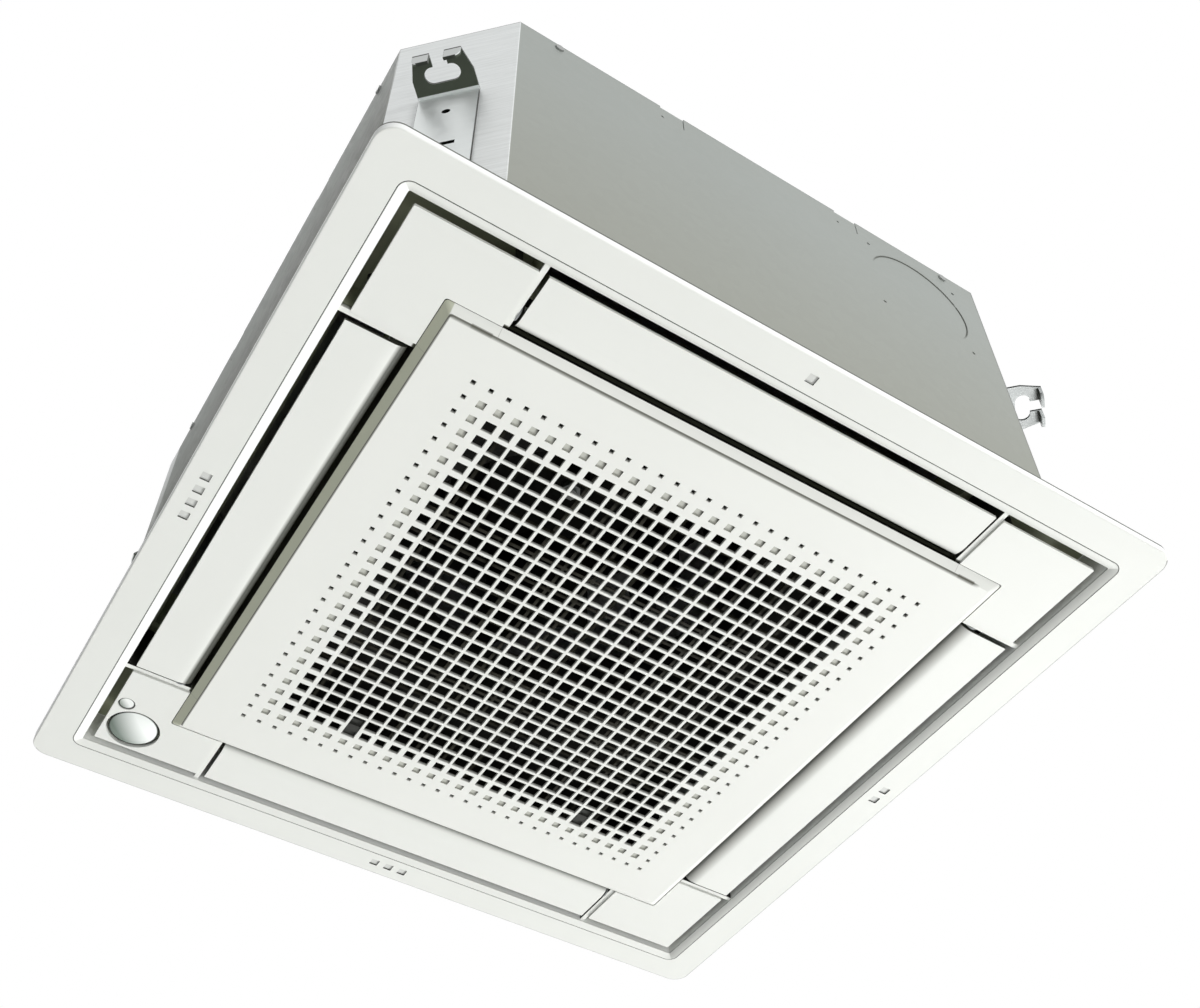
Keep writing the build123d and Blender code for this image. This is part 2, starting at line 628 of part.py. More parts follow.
# Rubber plug in the bottom of the sump, beside the pump.
with BuildPart() as drain_plug:
    with BuildSketch(level(BODY_Z)):
        with Locations((-DRAIN_PLUG_AT, DRAIN_PLUG_AT)):
            Circle(DRAIN_PLUG_R)
    extrude(amount=TROUGH_Z - BODY_Z)
    with BuildSketch(level(BODY_Z)):
        with Locations((-DRAIN_PLUG_AT, DRAIN_PLUG_AT)):
            Circle(DRAIN_PLUG_HEAD_R)
    extrude(amount=-DRAIN_PLUG_HEAD_T)
drain_plug.part.label = "drain_plug"
export_step(drain_plug.part, "parts/drain_plug.step")

# Coil: one block bent round the fan on all four sides, open at the piping corner.
with BuildPart() as heat_exchanger:
    with BuildSketch(level(TROUGH_Z)):
        square(COIL_OUT, COIL_BEND_R)
        square(COIL_IN, COIL_BEND_R - (COIL_OUT - COIL_IN), mode=Mode.SUBTRACT)
        open_side = BODY / 2 - COIL_END
        with Locations((-COIL_END - open_side / 2, COIL_END + open_side / 2)):
            Rectangle(open_side, open_side, mode=Mode.SUBTRACT)
    extrude(amount=COIL_TOP - TROUGH_Z)
heat_exchanger.part.label = "heat_exchanger"
export_step(heat_exchanger.part, "parts/heat_exchanger.step")

# End plates of the coil.
COIL_MIDDLE = (COIL_IN + COIL_OUT) / 2
PLATE_SPAN = COIL_OUT - COIL_IN + 2 * END_PLATE_SIDE
with BuildPart() as coil_end_plates:
    with BuildSketch(level(TROUGH_Z)):
        with Locations((-COIL_END - END_PLATE_T / 2, COIL_MIDDLE)):
            Rectangle(END_PLATE_T, PLATE_SPAN)
        with Locations((-COIL_MIDDLE, COIL_END + END_PLATE_T / 2)):
            Rectangle(PLATE_SPAN, END_PLATE_T)
    extrude(amount=COIL_TOP - TROUGH_Z)
coil_end_plates.part.label = "coil_end_plates"
export_step(coil_end_plates.part, "parts/coil_end_plates.step")

# Return bends, standing on the outer faces of the end plates.
with BuildPart() as coil_bends:
    for row in range(BEND_ROWS):
        z = TROUGH_Z + BEND_START + row * BEND_PITCH
        plate_face = COIL_END + END_PLATE_T
        rear_end = Plane(origin=(-plate_face, COIL_MIDDLE, z), x_dir=(0, 1, 0), z_dir=(-1, 0, 0))
        left_end = Plane(origin=(-COIL_MIDDLE, plate_face, z), x_dir=(1, 0, 0), z_dir=(0, 1, 0))
        for plane in (rear_end, left_end):
            with BuildSketch(plane):
                with Locations((BEND_R, 0)):
                    Circle(TUBE_R)
            axis = Axis(plane.origin, plane.y_dir)
            revolve(axis=axis, revolution_arc=-180)
coil_bends.part.label = "coil_bends"
export_step(coil_bends.part, "parts/coil_bends.step")

# ================================================================ piping corner
# Gas and liquid pipes: straight from the coil's end plate out through the rear wall.
PIPE_START = COIL_END + END_PLATE_T
PIPE_END = BODY / 2 + PIPE_OUT


def make_pipe(name, radius, z):
    with BuildPart() as pipe:
        with BuildSketch(face_plane(SIDES["rear"], PIPE_START)):
            with Locations((PIPE_X, z)):
                Circle(radius)
                Circle(radius - PIPE_WALL, mode=Mode.SUBTRACT)
        extrude(amount=PIPE_END - PIPE_START)
    pipe.part.label = name
    export_step(pipe.part, "parts/" + name + ".step")


make_pipe("gas_pipe", GAS_R, GAS_Z)
make_pipe("liquid_pipe", LIQUID_R, LIQUID_Z)

# Flare unions on the pipes' ends: a hexagon and a plain threaded stub, bored through.
with BuildPart() as flare_unions:
    for z, pipe_r, hex_r, thread_r in ((GAS_Z, GAS_R, GAS_HEX_R, GAS_THREAD_R),
                                       (LIQUID_Z, LIQUID_R, LIQUID_HEX_R, LIQUID_THREAD_R)):
        with BuildSketch(face_plane(SIDES["rear"], PIPE_END)):
            with Locations((PIPE_X, z)):
                RegularPolygon(hex_r, 6)
                Circle(pipe_r - PIPE_WALL, mode=Mode.SUBTRACT)
        extrude(amount=UNION_HEX_L)
        with BuildSketch(face_plane(SIDES["rear"], PIPE_END + UNION_HEX_L)):
            with Locations((PIPE_X, z)):
                Circle(thread_r)
                Circle(pipe_r - PIPE_WALL, mode=Mode.SUBTRACT)
        extrude(amount=UNION_L - UNION_HEX_L)
flare_unions.part.label = "flare_unions"
export_step(flare_unions.part, "parts/flare_unions.step")

# Cover plate over the pipes' opening in the rear wall.
with BuildPart() as pipe_plate:
    with BuildSketch(face_plane(SIDES["rear"], BODY / 2)):
        with Locations((PIPE_X, (GAS_Z + LIQUID_Z) / 2)):
            Rectangle(PIPE_PLATE_W, PIPE_PLATE_H)
        with Locations((PIPE_X, GAS_Z)):
            Circle(GAS_R + GAP, mode=Mode.SUBTRACT)
        with Locations((PIPE_X, LIQUID_Z)):
            Circle(LIQUID_R + GAP, mode=Mode.SUBTRACT)
        with Locations((-SPIGOT_AT[0], HOSE_Z)):
            Circle(SOCKET_FLANGE_R + GAP, mode=Mode.SUBTRACT)
    extrude(amount=SHEET)
pipe_plate.part.label = "pipe_plate"
export_step(pipe_plate.part, "parts/pipe_plate.step")

# Drain pump: a stem that dips into the sump, a round chamber, its motor on top, a spigot for the
# hose and an arm that carries the float's stem.
with BuildPart() as drain_pump:
    with BuildSketch(level(PUMP_Z)):
        with Locations((-PUMP_AT, PUMP_AT)):
            Circle(PUMP_R)
        with Locations(SPIGOT_AT):
            Circle(HOSE_R)
    extrude(amount=PUMP_BODY_H)
    with BuildSketch(level(PUMP_TOP)):
        with Locations((-PUMP_AT, PUMP_AT)):
            Circle(PUMP_MOTOR_R)
    extrude(amount=PUMP_MOTOR_H)
    with BuildSketch(level(TROUGH_Z + STEM_GAP)):
        with Locations((-PUMP_AT, PUMP_AT)):
            Circle(STEM_R)
    extrude(amount=PUMP_Z - TROUGH_Z - STEM_GAP)
    with BuildSketch(level(PUMP_TOP)):
        with Locations(SPIGOT_AT):
            Circle(SPIGOT_R)
    extrude(amount=SPIGOT_H)
    arm_l = sqrt(FLOAT_DX**2 + FLOAT_DY**2)
    arm_start = (-PUMP_AT, PUMP_AT, PUMP_TOP - ARM_T)
    arm_plane = Plane(origin=arm_start, x_dir=(FLOAT_DX, -FLOAT_DY, 0), z_dir=(0, 0, 1))
    with BuildSketch(arm_plane):
        with Locations((arm_l / 2, 0)):
            Rectangle(arm_l, ARM_W)
        with Locations((arm_l, 0)):
            Circle(ARM_W / 2)
    extrude(amount=ARM_T)
    with BuildSketch(level(PUMP_TOP - ARM_T)):
        with Locations(FLOAT_AT):
            Circle(FLOAT_STEM_R)
    extrude(amount=-FLOAT_STEM_L)
    with BuildSketch(level(PUMP_Z + (PUMP_BODY_H - CAVITY_H) / 2)):
        with Locations((-PUMP_AT, PUMP_AT)):
            Circle(CAVITY_R)
    extrude(amount=CAVITY_H, mode=Mode.SUBTRACT)
    with BuildSketch(level(TROUGH_Z + STEM_GAP)):
        with Locations((-PUMP_AT, PUMP_AT)):
            Circle(STEM_BORE)
    extrude(amount=PUMP_Z - TROUGH_Z, mode=Mode.SUBTRACT)
    with BuildSketch(level(PUMP_TOP - CAVITY_H / 2)):
        with Locations((-PUMP_AT, PUMP_AT)):
            Circle(IMPELLER_SHAFT_R + RUN_FIT)
    extrude(amount=PUMP_MOTOR_H / 2 + PUMP_BODY_H - CAVITY_H, mode=Mode.SUBTRACT)
drain_pump.part.label = "drain_pump"
export_step(drain_pump.part, "parts/drain_pump.step")

# Pump impeller: a disc with straight vanes under it and a thin shaft up into the pump's motor.
IMPELLER_Z = PUMP_TOP - (PUMP_BODY_H - CAVITY_H) / 2 - 2 * GAP - IMPELLER_T
with BuildPart() as pump_impeller:
    with BuildSketch(level(IMPELLER_Z)):
        with Locations((-PUMP_AT, PUMP_AT)):
            Circle(IMPELLER_R)
    extrude(amount=IMPELLER_T)
    with BuildSketch(level(IMPELLER_Z)):
        with Locations((-PUMP_AT, PUMP_AT)):
            for turn in (0, 60, 120):
                Rectangle(2 * IMPELLER_R - 2 * GAP, IMPELLER_T, rotation=turn)
    extrude(amount=-VANE_H)
    with BuildSketch(level(IMPELLER_Z)):
        with Locations((-PUMP_AT, PUMP_AT)):
            Circle(IMPELLER_SHAFT_R)
    extrude(amount=PUMP_MOTOR_H / 2)
pump_impeller.part.label = "pump_impeller"
export_step(pump_impeller.part, "parts/pump_impeller.step")

# Float of the water level switch, a ring that rides up and down its stem.
FLOAT_REST = PUMP_TOP - ARM_T - FLOAT_STEM_L + GAP
with BuildPart() as float_ring:
    with BuildSketch(level(FLOAT_REST)):
        with Locations(FLOAT_AT):
            Circle(FLOAT_R)
            Circle(FLOAT_STEM_R + 2 * RUN_FIT, mode=Mode.SUBTRACT)
    extrude(amount=FLOAT_H)
float_ring.part.label = "float_ring"
export_step(float_ring.part, "parts/float_ring.step")

# Drain hose: from the pump's spigot up, then over and out to the rear wall.
with BuildPart() as drain_hose:
    with BuildLine() as hose_line:
        hose_start = (SPIGOT_AT[0], SPIGOT_AT[1], PUMP_TOP)
        hose_corner = (SPIGOT_AT[0], SPIGOT_AT[1], HOSE_Z)
        hose_end = (SPIGOT_AT[0], BODY / 2 + GAP, HOSE_Z)
        FilletPolyline(hose_start, hose_corner, hose_end, radius=HOSE_BEND)
    with BuildSketch(level(PUMP_TOP)):
        with Locations(SPIGOT_AT):
            Circle(HOSE_R)
            Circle(SPIGOT_R + RUN_FIT, mode=Mode.SUBTRACT)
    sweep()
drain_hose.part.label = "drain_hose"
export_step(drain_hose.part, "parts/drain_hose.step")

# Drain socket on the rear wall, where the building's drain pipe is pushed on.
with BuildPart() as drain_socket:
    with BuildSketch(face_plane(SIDES["rear"], BODY / 2 + GAP)):
        with Locations((-SPIGOT_AT[0], HOSE_Z)):
            Circle(SOCKET_FLANGE_R)
            Circle(SPIGOT_R, mode=Mode.SUBTRACT)
    extrude(amount=SOCKET_FLANGE_T)
    with BuildSketch(face_plane(SIDES["rear"], BODY / 2 + GAP + SOCKET_FLANGE_T)):
        with Locations((-SPIGOT_AT[0], HOSE_Z)):
            Circle(SOCKET_R)
            Circle(SPIGOT_R, mode=Mode.SUBTRACT)
    extrude(amount=SOCKET_L - SOCKET_FLANGE_T)
drain_socket.part.label = "drain_socket"
export_step(drain_socket.part, "parts/drain_socket.step")

# Rubber grommet for the power cable in the right wall.
with BuildPart() as cable_grommet:
    with BuildSketch(face_plane(SIDES["right"], BODY / 2)):
        with Locations((GROMMET_Y, BODY_Z + GROMMET_UP)):
            Circle(GROMMET_HEAD_R)
            Circle(GROMMET_BORE, mode=Mode.SUBTRACT)
    extrude(amount=GROMMET_HEAD_T)
    with BuildSketch(face_plane(SIDES["right"], BODY / 2)):
        with Locations((GROMMET_Y, BODY_Z + GROMMET_UP)):
            Circle(GROMMET_R)
            Circle(GROMMET_BORE, mode=Mode.SUBTRACT)
    extrude(amount=-(SHEET + LINER_T))
cable_grommet.part.label = "cable_grommet"
export_step(cable_grommet.part, "parts/cable_grommet.step")

# ================================================================ fan
# Fan motor: a round can with three feet on its upper edge.
with BuildPart() as fan_motor:
    with BuildSketch(level(MOTOR_Z)):
        Circle(MOTOR_R)
    extrude(amount=MOTOR_H)
    with BuildSketch(level(MOTOR_TOP - LUG_PLATE_T)):
        with PolarLocations(LUG_R, 3):
            Circle(LUG_END_R)
        with PolarLocations(LUG_R / 2 + MOTOR_R / 4, 3):
            Rectangle(LUG_R - MOTOR_R / 2, 2 * LUG_END_R)
    extrude(amount=LUG_PLATE_T)
    with BuildSketch(level(MOTOR_Z)):
        Circle(SHAFT_R + RUN_FIT)
    extrude(amount=SHAFT_IN_MOTOR + GAP, mode=Mode.SUBTRACT)
fan_motor.part.label = "fan_motor"
export_step(fan_motor.part, "parts/fan_motor.step")

# Rubber bushes between the motor's feet and the lid.
with BuildPart() as motor_bushes:
    with BuildSketch(level(MOTOR_TOP)):
        with PolarLocations(LUG_R, 3):
            Circle(BUSHING_R)
    extrude(amount=MOTOR_TO_LID)
motor_bushes.part.label = "motor_bushes"
export_step(motor_bushes.part, "parts/motor_bushes.step")

# Turbo fan: back plate with a deep hub cup round the motor, curved blades and an inlet shroud.
with BuildPart() as turbo_fan:
    with BuildSketch(level(FAN_Z)):
        for turn in range(BLADES):
            start = Vector(BLADE_IN_R, 0).rotate(Axis.Z, turn * 360 / BLADES)
            end = Vector(FAN_R - GAP, 0).rotate(Axis.Z, turn * 360 / BLADES + BLADE_SWEEP)
            with BuildLine() as blade_line:
                RadiusArc(start, end, BLADE_ARC_R)
                offset(amount=BLADE_T / 2, side=Side.BOTH, kind=Kind.ARC)
            make_face()
    extrude(amount=FAN_H - FAN_PLATE_T / 2)
    with BuildSketch(section(SIDES["right"])):
        low, high = FAN_Z, FAN_Z + SHROUD_H
        beyond = FAN_R + FAN_PLATE_T
        Polygon((0, low), (beyond, low), (beyond, high), (FAN_R, high),
                (FAN_INLET_R, low + FAN_PLATE_T / 2), (FAN_INLET_R, low + BLADE_CUT_UP),
                (0, low + BLADE_CUT_UP), align=None)
    revolve(axis=Axis.Z, mode=Mode.SUBTRACT)
    with BuildSketch(section(SIDES["right"])):
        with BuildLine():
            Polyline((FAN_INLET_R, FAN_Z), (FAN_INLET_R + FAN_PLATE_T, FAN_Z))
            Line((FAN_INLET_R + FAN_PLATE_T, FAN_Z), (FAN_R, FAN_Z + SHROUD_H - FAN_PLATE_T))
            Line((FAN_R, FAN_Z + SHROUD_H - FAN_PLATE_T), (FAN_R, FAN_Z + SHROUD_H + FAN_PLATE_T))
            Line((FAN_R, FAN_Z + SHROUD_H + FAN_PLATE_T), (FAN_INLET_R, FAN_Z + FAN_PLATE_T))
            Line((FAN_INLET_R, FAN_Z + FAN_PLATE_T), (FAN_INLET_R, FAN_Z))
        make_face()
    revolve(axis=Axis.Z)
    with BuildSketch(section(SIDES["right"])):
        bore_r = SHAFT_R + SEAT_FIT
        Polygon((bore_r, CUP_Z), (bore_r, CUP_Z - HUB_H), (HUB_R, CUP_Z - HUB_H),
                (HUB_R, CUP_Z - FAN_PLATE_T), (CUP_LOW_R + FAN_PLATE_T, CUP_Z - FAN_PLATE_T),
                (CUP_HIGH_R + FAN_PLATE_T, FAN_TOP - FAN_PLATE_T), (FAN_R, FAN_TOP - FAN_PLATE_T),
                (FAN_R, FAN_TOP), (CUP_HIGH_R, FAN_TOP), (CUP_LOW_R, CUP_Z), align=None)
    revolve(axis=Axis.Z)
turbo_fan.part.label = "turbo_fan"
export_step(turbo_fan.part, "parts/turbo_fan.step")

# Shaft from the motor through the fan's hub.
with BuildPart() as motor_shaft:
    with BuildSketch(level(CUP_Z - HUB_H - SHAFT_BELOW)):
        Circle(SHAFT_R)
    extrude(amount=SHAFT_BELOW + HUB_H + MOTOR_TO_CUP + SHAFT_IN_MOTOR)
motor_shaft.part.label = "motor_shaft"
export_step(motor_shaft.part, "parts/motor_shaft.step")

# Nut that holds the fan on the shaft.
with BuildPart() as fan_nut:
    with BuildSketch(level(CUP_Z - HUB_H - NUT_H)):
        RegularPolygon(NUT_R, 6)
        Circle(SHAFT_R + SEAT_FIT, mode=Mode.SUBTRACT)
    extrude(amount=NUT_H)
fan_nut.part.label = "fan_nut"
export_step(fan_nut.part, "parts/fan_nut.step")

# Bell mouth: a square plate under the drain pan with a flared inlet that reaches into the fan.
with BuildPart() as bell_mouth:
    with BuildSketch(level(BELL_Z)):
        square(BELL_HALF)
        Circle(BELL_R + BELL_FLARE_W, mode=Mode.SUBTRACT)
    extrude(amount=BELL_PLATE_T)
    with BuildSketch(section(SIDES["right"])):
        with BuildLine():
            throat = BELL_Z + BELL_FLARE_H
            flare_h = BELL_FLARE_H - BELL_PLATE_T
            low = (BELL_R + BELL_FLARE_W, BELL_Z)
            low_out = (BELL_R + BELL_FLARE_W + BELL_T, BELL_Z)
            EllipticalCenterArc((low[0], throat), BELL_FLARE_W, BELL_FLARE_H, 180, arc_size=90)
            Line(low, low_out)
            Line(low_out, (low_out[0], BELL_Z + BELL_PLATE_T))
            EllipticalCenterArc((low_out[0], throat), BELL_FLARE_W, flare_h, 180, arc_size=90)
            Line((BELL_R + BELL_T, throat), (BELL_R + BELL_T, BELL_TOP))
            Line((BELL_R + BELL_T, BELL_TOP), (BELL_R, BELL_TOP))
            Line((BELL_R, BELL_TOP), (BELL_R, throat))
        make_face()
    revolve(axis=Axis.Z)
bell_mouth.part.label = "bell_mouth"
export_step(bell_mouth.part, "parts/bell_mouth.step")

# ================================================================ control box
# Sheet metal box under the bell mouth's plate on the right, open below, and its flat lid.
BOX_TOP = BELL_Z
BOX_LOW = BOX_TOP - BOX_H
with BuildPart() as control_box:
    with BuildSketch(level(BOX_LOW + BOX_T)):
        with Locations((BOX_X, 0)):
            Rectangle(BOX_W, BOX_L)
    extrude(amount=BOX_H - BOX_T)
    with BuildSketch(level(BOX_LOW + BOX_T)):
        with Locations((BOX_X, 0)):
            Rectangle(BOX_W - 2 * BOX_T, BOX_L - 2 * BOX_T)
    extrude(amount=BOX_H - 2 * BOX_T, mode=Mode.SUBTRACT)
control_box.part.label = "control_box"
export_step(control_box.part, "parts/control_box.step")

with BuildPart() as control_box_lid:
    with BuildSketch(level(BOX_LOW)):
        with Locations((BOX_X, 0)):
            Rectangle(BOX_W, BOX_L)
    extrude(amount=BOX_T)
control_box_lid.part.label = "control_box_lid"
export_step(control_box_lid.part, "parts/control_box_lid.step")

# Circuit board on stand-offs under the box's top, with three capacitors.
BOARD_W = BOX_W - 2 * BOX_T - 2 * BOARD_MARGIN
BOARD_L = BOX_L / 2
BOARD_TOP = BOX_TOP - BOX_T - STANDOFF_H
with BuildPart() as circuit_board:
    with BuildSketch(level(BOARD_TOP)):
        with Locations((BOX_X, BOX_L / 5)):
            Rectangle(BOARD_W, BOARD_L)
    extrude(amount=-BOARD_T)
    with BuildSketch(level(BOARD_TOP)):
        with Locations((BOX_X, BOX_L / 5)):
            with GridLocations(BOARD_W - 4 * STANDOFF_R, BOARD_L - 4 * STANDOFF_R, 2, 2):
                Circle(STANDOFF_R)
    extrude(amount=STANDOFF_H)
    with BuildSketch(level(BOARD_TOP - BOARD_T)):
        with Locations((BOX_X, BOX_L / 5)):
            with GridLocations(0, 3 * CAPACITOR_R, 1, 3):
                Circle(CAPACITOR_R)
    extrude(amount=-CAPACITOR_H)
circuit_board.part.label = "circuit_board"
export_step(circuit_board.part, "parts/circuit_board.step")

with BuildPart() as terminal_block:
    with BuildSketch(level(BOX_TOP - BOX_T)):
        with Locations((BOX_X, -BOX_L / 3)):
            Rectangle(TERMINAL_W, TERMINAL_L)
    extrude(amount=-TERMINAL_H)
    with BuildSketch(level(BOX_TOP - BOX_T - TERMINAL_H)):
        with Locations((BOX_X, -BOX_L / 3)):
            with GridLocations(0, TERMINAL_L / 5, 1, 4):
                Circle(STANDOFF_R)
    extrude(amount=STANDOFF_R, mode=Mode.SUBTRACT)
terminal_block.part.label = "terminal_block"
export_step(terminal_block.part, "parts/terminal_block.step")

# ================================================================ panel
# Foam seals between the panel and the body: one under the body's lower edge, which follows its
# eight sides and rests on the panel's ledge, and one round the suction opening.
with BuildPart() as panel_seal:
    with BuildSketch(level(PANEL_TOP)):
        Polygon(*octagon(SEAL_INSET), align=None)
        Polygon(*octagon(SEAL_INSET + SEAL_W), align=None, mode=Mode.SUBTRACT)
    extrude(amount=SEAL_T)
    with BuildSketch(level(PANEL_TOP)):
        square(RING_OUT + RING_T)
        square(RING_WALL_IN - RING_T, mode=Mode.SUBTRACT)
    extrude(amount=SEAL_T)
panel_seal.part.label = "panel_seal"
export_step(panel_seal.part, "parts/panel_seal.step")


def rib_middles():
    """Middles of the eight walls that end the air slots, each with its size along X and Y."""
    span = COLLAR_IN - RING_OUT
    across = (COLLAR_IN + RING_OUT) / 2
    along = (RIB_START + RIB_END) / 2
    for name, side in SIDES.items():
        for sign in (-1, 1):
            x = side[0] * across + side[1] * sign * along
            y = side[1] * across + side[0] * sign * along
            size = (span, RIB_T) if side[0] else (RIB_T, span)
            yield x, y, size


# Panel frame, one moulding: a hollow flange against the ceiling, a shallow slope round the recess,
# a collar up to the body, a ring wall round the suction opening, walls at the ends of the air
# slots, a deck over each corner cover, and two hooks that carry the grille's hinge pins.
with BuildPart() as panel_frame:
    with BuildSketch(level(-FLANGE_DROP)):
        square(PANEL_HALF, PANEL_R)
    extrude(amount=FLANGE_DROP)
    fillet(panel_frame.faces().sort_by(Axis.Z)[0].edges(), FLANGE_EDGE_R)
    with BuildSketch(level(-FLANGE_DROP + MOULD_T)):
        square(PANEL_HALF - MOULD_T, PANEL_R - MOULD_T)
    extrude(amount=FLANGE_DROP - MOULD_T, mode=Mode.SUBTRACT)
    with BuildSketch(level(-FLANGE_DROP)):
        square(LINE_HALF + MOULD_T, RECESS_R + MOULD_T)
    extrude(amount=BEVEL_H + MOULD_T)
    with BuildSketch(level(BEVEL_TOP)):
        square(COLLAR_OUT, RECESS_R - BEVEL_W + MOULD_T)
    extrude(amount=PANEL_TOP - BEVEL_TOP)
    with BuildSketch(level(PANEL_TOP - MOULD_T)):
        square(COLLAR_OUT + LEDGE_W)
    extrude(amount=MOULD_T)
    with BuildSketch(level(-FLANGE_DROP)):
        square(LINE_HALF, RECESS_R)
    extrude(amount=BEVEL_H, taper=BEVEL_TAPER, mode=Mode.SUBTRACT)
    with BuildSketch(level(BEVEL_TOP)):
        square(COLLAR_IN, RECESS_R - BEVEL_W)
    extrude(amount=PANEL_TOP - BEVEL_TOP, mode=Mode.SUBTRACT)
    with BuildSketch(level(-FLANGE_DROP)):
        square(LINE_HALF + LINE_W, RECESS_R + LINE_W)
        square(LINE_HALF, RECESS_R, mode=Mode.SUBTRACT)
    extrude(amount=LINE_DEPTH, mode=Mode.SUBTRACT)
    with BuildSketch(level(RING_Z)):
        square(RING_OUT)
        square(RING_WALL_IN, mode=Mode.SUBTRACT)
    extrude(amount=PANEL_TOP - RING_Z)
    with BuildSketch(level(-RIB_DROP)):
        for x, y, size in rib_middles():
            with Locations((x, y)):
                Rectangle(*size)
    extrude(amount=PANEL_TOP + RIB_DROP)
    with BuildSketch(level(DECK_Z)):
        corner_middle = (RIB_END + COLLAR_IN) / 2
        with GridLocations(2 * corner_middle, 2 * corner_middle, 2, 2):
            Rectangle(COLLAR_IN - RIB_END, COLLAR_IN - RIB_END)
        square(RING_OUT, mode=Mode.SUBTRACT)
    extrude(amount=MOULD_T)
    with BuildSketch(level(DECK_Z)):
        with Locations(*[(x * SCREW_A, y * SCREW_B) for x, y in CORNERS.values()]):
            Circle(BOSS_R)
    extrude(amount=PANEL_TOP - DECK_Z)
    with BuildSketch(level(DECK_Z)):
        with Locations(*[(x * SCREW_A, y * SCREW_B) for x, y in CORNERS.values()]):
            Circle(SCREW_R + GAP)
    extrude(amount=PANEL_TOP - DECK_Z, mode=Mode.SUBTRACT)
    for side in SIDES.values():
        with BuildSketch(section(side, -RIB_END)):
            with Locations((AXIS_OUT, AXIS_Z)):
                Circle(BUSH_R + SEAT_FIT)
        extrude(amount=2 * RIB_END, mode=Mode.SUBTRACT)
    sweep_top = HINGE_Z + HINGE_IN + SWEEP_ROOM
    sweep_out = GRILLE_HALF + COVER_TO_GRILLE
    sweep_in = HINGE_OUT - SWEEP_ROOM
    with BuildSketch(level(RING_Z)):
        with Locations((0, -(sweep_out + sweep_in) / 2)):
            Rectangle(2 * sweep_out, sweep_out - sweep_in)
    extrude(amount=sweep_top - RING_Z, mode=Mode.SUBTRACT)
    lean = radians(HOOK_LEAN)
    stem_top = (HINGE_OUT - HOOK_STEM_L * cos(lean), HINGE_Z + HOOK_STEM_L * sin(lean))
    arm_in = stem_top[0] - HOOK_STEM_W / 2
    for x in (-HINGE_X, HINGE_X):
        with BuildSketch(section(SIDES["front"], x - HOOK_W / 2)):
            with Locations((HINGE_OUT, HINGE_Z)):
                Circle(HOOK_R)
            with Locations(((HINGE_OUT + stem_top[0]) / 2, (HINGE_Z + stem_top[1]) / 2)):
                Rectangle(HOOK_STEM_L, HOOK_STEM_W, rotation=180 - HOOK_LEAN)
            with Locations(((arm_in + RING_OUT) / 2, stem_top[1] + HOOK_STEM_W / 2)):
                Rectangle(RING_OUT - arm_in, HOOK_STEM_W)
            with Locations((HINGE_OUT, HINGE_Z)):
                Circle(HINGE_PIN_R + RUN_FIT, mode=Mode.SUBTRACT)
        extrude(amount=HOOK_W)
    with BuildSketch(level(-FLANGE_DROP)):
        for name, side in SIDES.items():
            count = MARK_COUNTS[name]
            for i in range(count):
                along = (i - (count - 1) / 2) * MARK_PITCH
                out = PANEL_HALF - MARK_IN
                with Locations((side[0] * out + side[1] * along, side[1] * out + side[0] * along)):
                    Rectangle(MARK, MARK)
    extrude(amount=MARK_DEPTH, mode=Mode.SUBTRACT)
panel_frame.part.label = "panel_frame"
export_step(panel_frame.part, "parts/panel_frame.step")

# Screws up through the corner decks into the body.
with BuildPart() as panel_screws:
    with BuildSketch(level(DECK_Z)):
        with Locations(*[(x * SCREW_A, y * SCREW_B) for x, y in CORNERS.values()]):
            Circle(SCREW_R)
    extrude(amount=BODY_Z + SHEET + SCREW_BITE - DECK_Z)
    with BuildSketch(level(DECK_Z)):
        with Locations(*[(x * SCREW_A, y * SCREW_B) for x, y in CORNERS.values()]):
            Circle(SCREW_HEAD_R)
    extrude(amount=-SCREW_HEAD_T)
panel_screws.part.label = "panel_screws"
export_step(panel_screws.part, "parts/panel_screws.step")


# Corner covers: L-shaped plates with two posts up to the deck; the rear left one has the holes
# for the two sensors.
def make_cover(name, corner):
    middle = (COVER_START + PLATE_HALF) / 2
    near, far = COVER_START + POST_END, PLATE_HALF - POST_IN
    with BuildPart() as cover:
        with BuildSketch(level(PLATE_Z)):
            with Locations((corner[0] * middle, corner[1] * middle)):
                RectangleRounded(COVER_SIDE, COVER_SIDE, COVER_R / 2)
            square(GRILLE_HALF + COVER_TO_GRILLE, COVER_R, mode=Mode.SUBTRACT)
            if name == "rear_left":
                with Locations(DOME_AT):
                    Circle(DOME_HOLE_R, mode=Mode.SUBTRACT)
                with Locations(FLOOR_AT):
                    Circle(FLOOR_HOLE_R, mode=Mode.SUBTRACT)
        extrude(amount=PLATE_T)
        with BuildSketch(level(PLATE_TOP)):
            with Locations((corner[0] * near, corner[1] * far), (corner[0] * far, corner[1] * near)):
                Circle(POST_R)
        extrude(amount=DECK_Z - PLATE_TOP)
    cover.part.label = "corner_cover_" + name
    export_step(cover.part, "parts/corner_cover_" + name + ".step")


for corner_name, corner_signs in CORNERS.items():
    make_cover(corner_name, corner_signs)


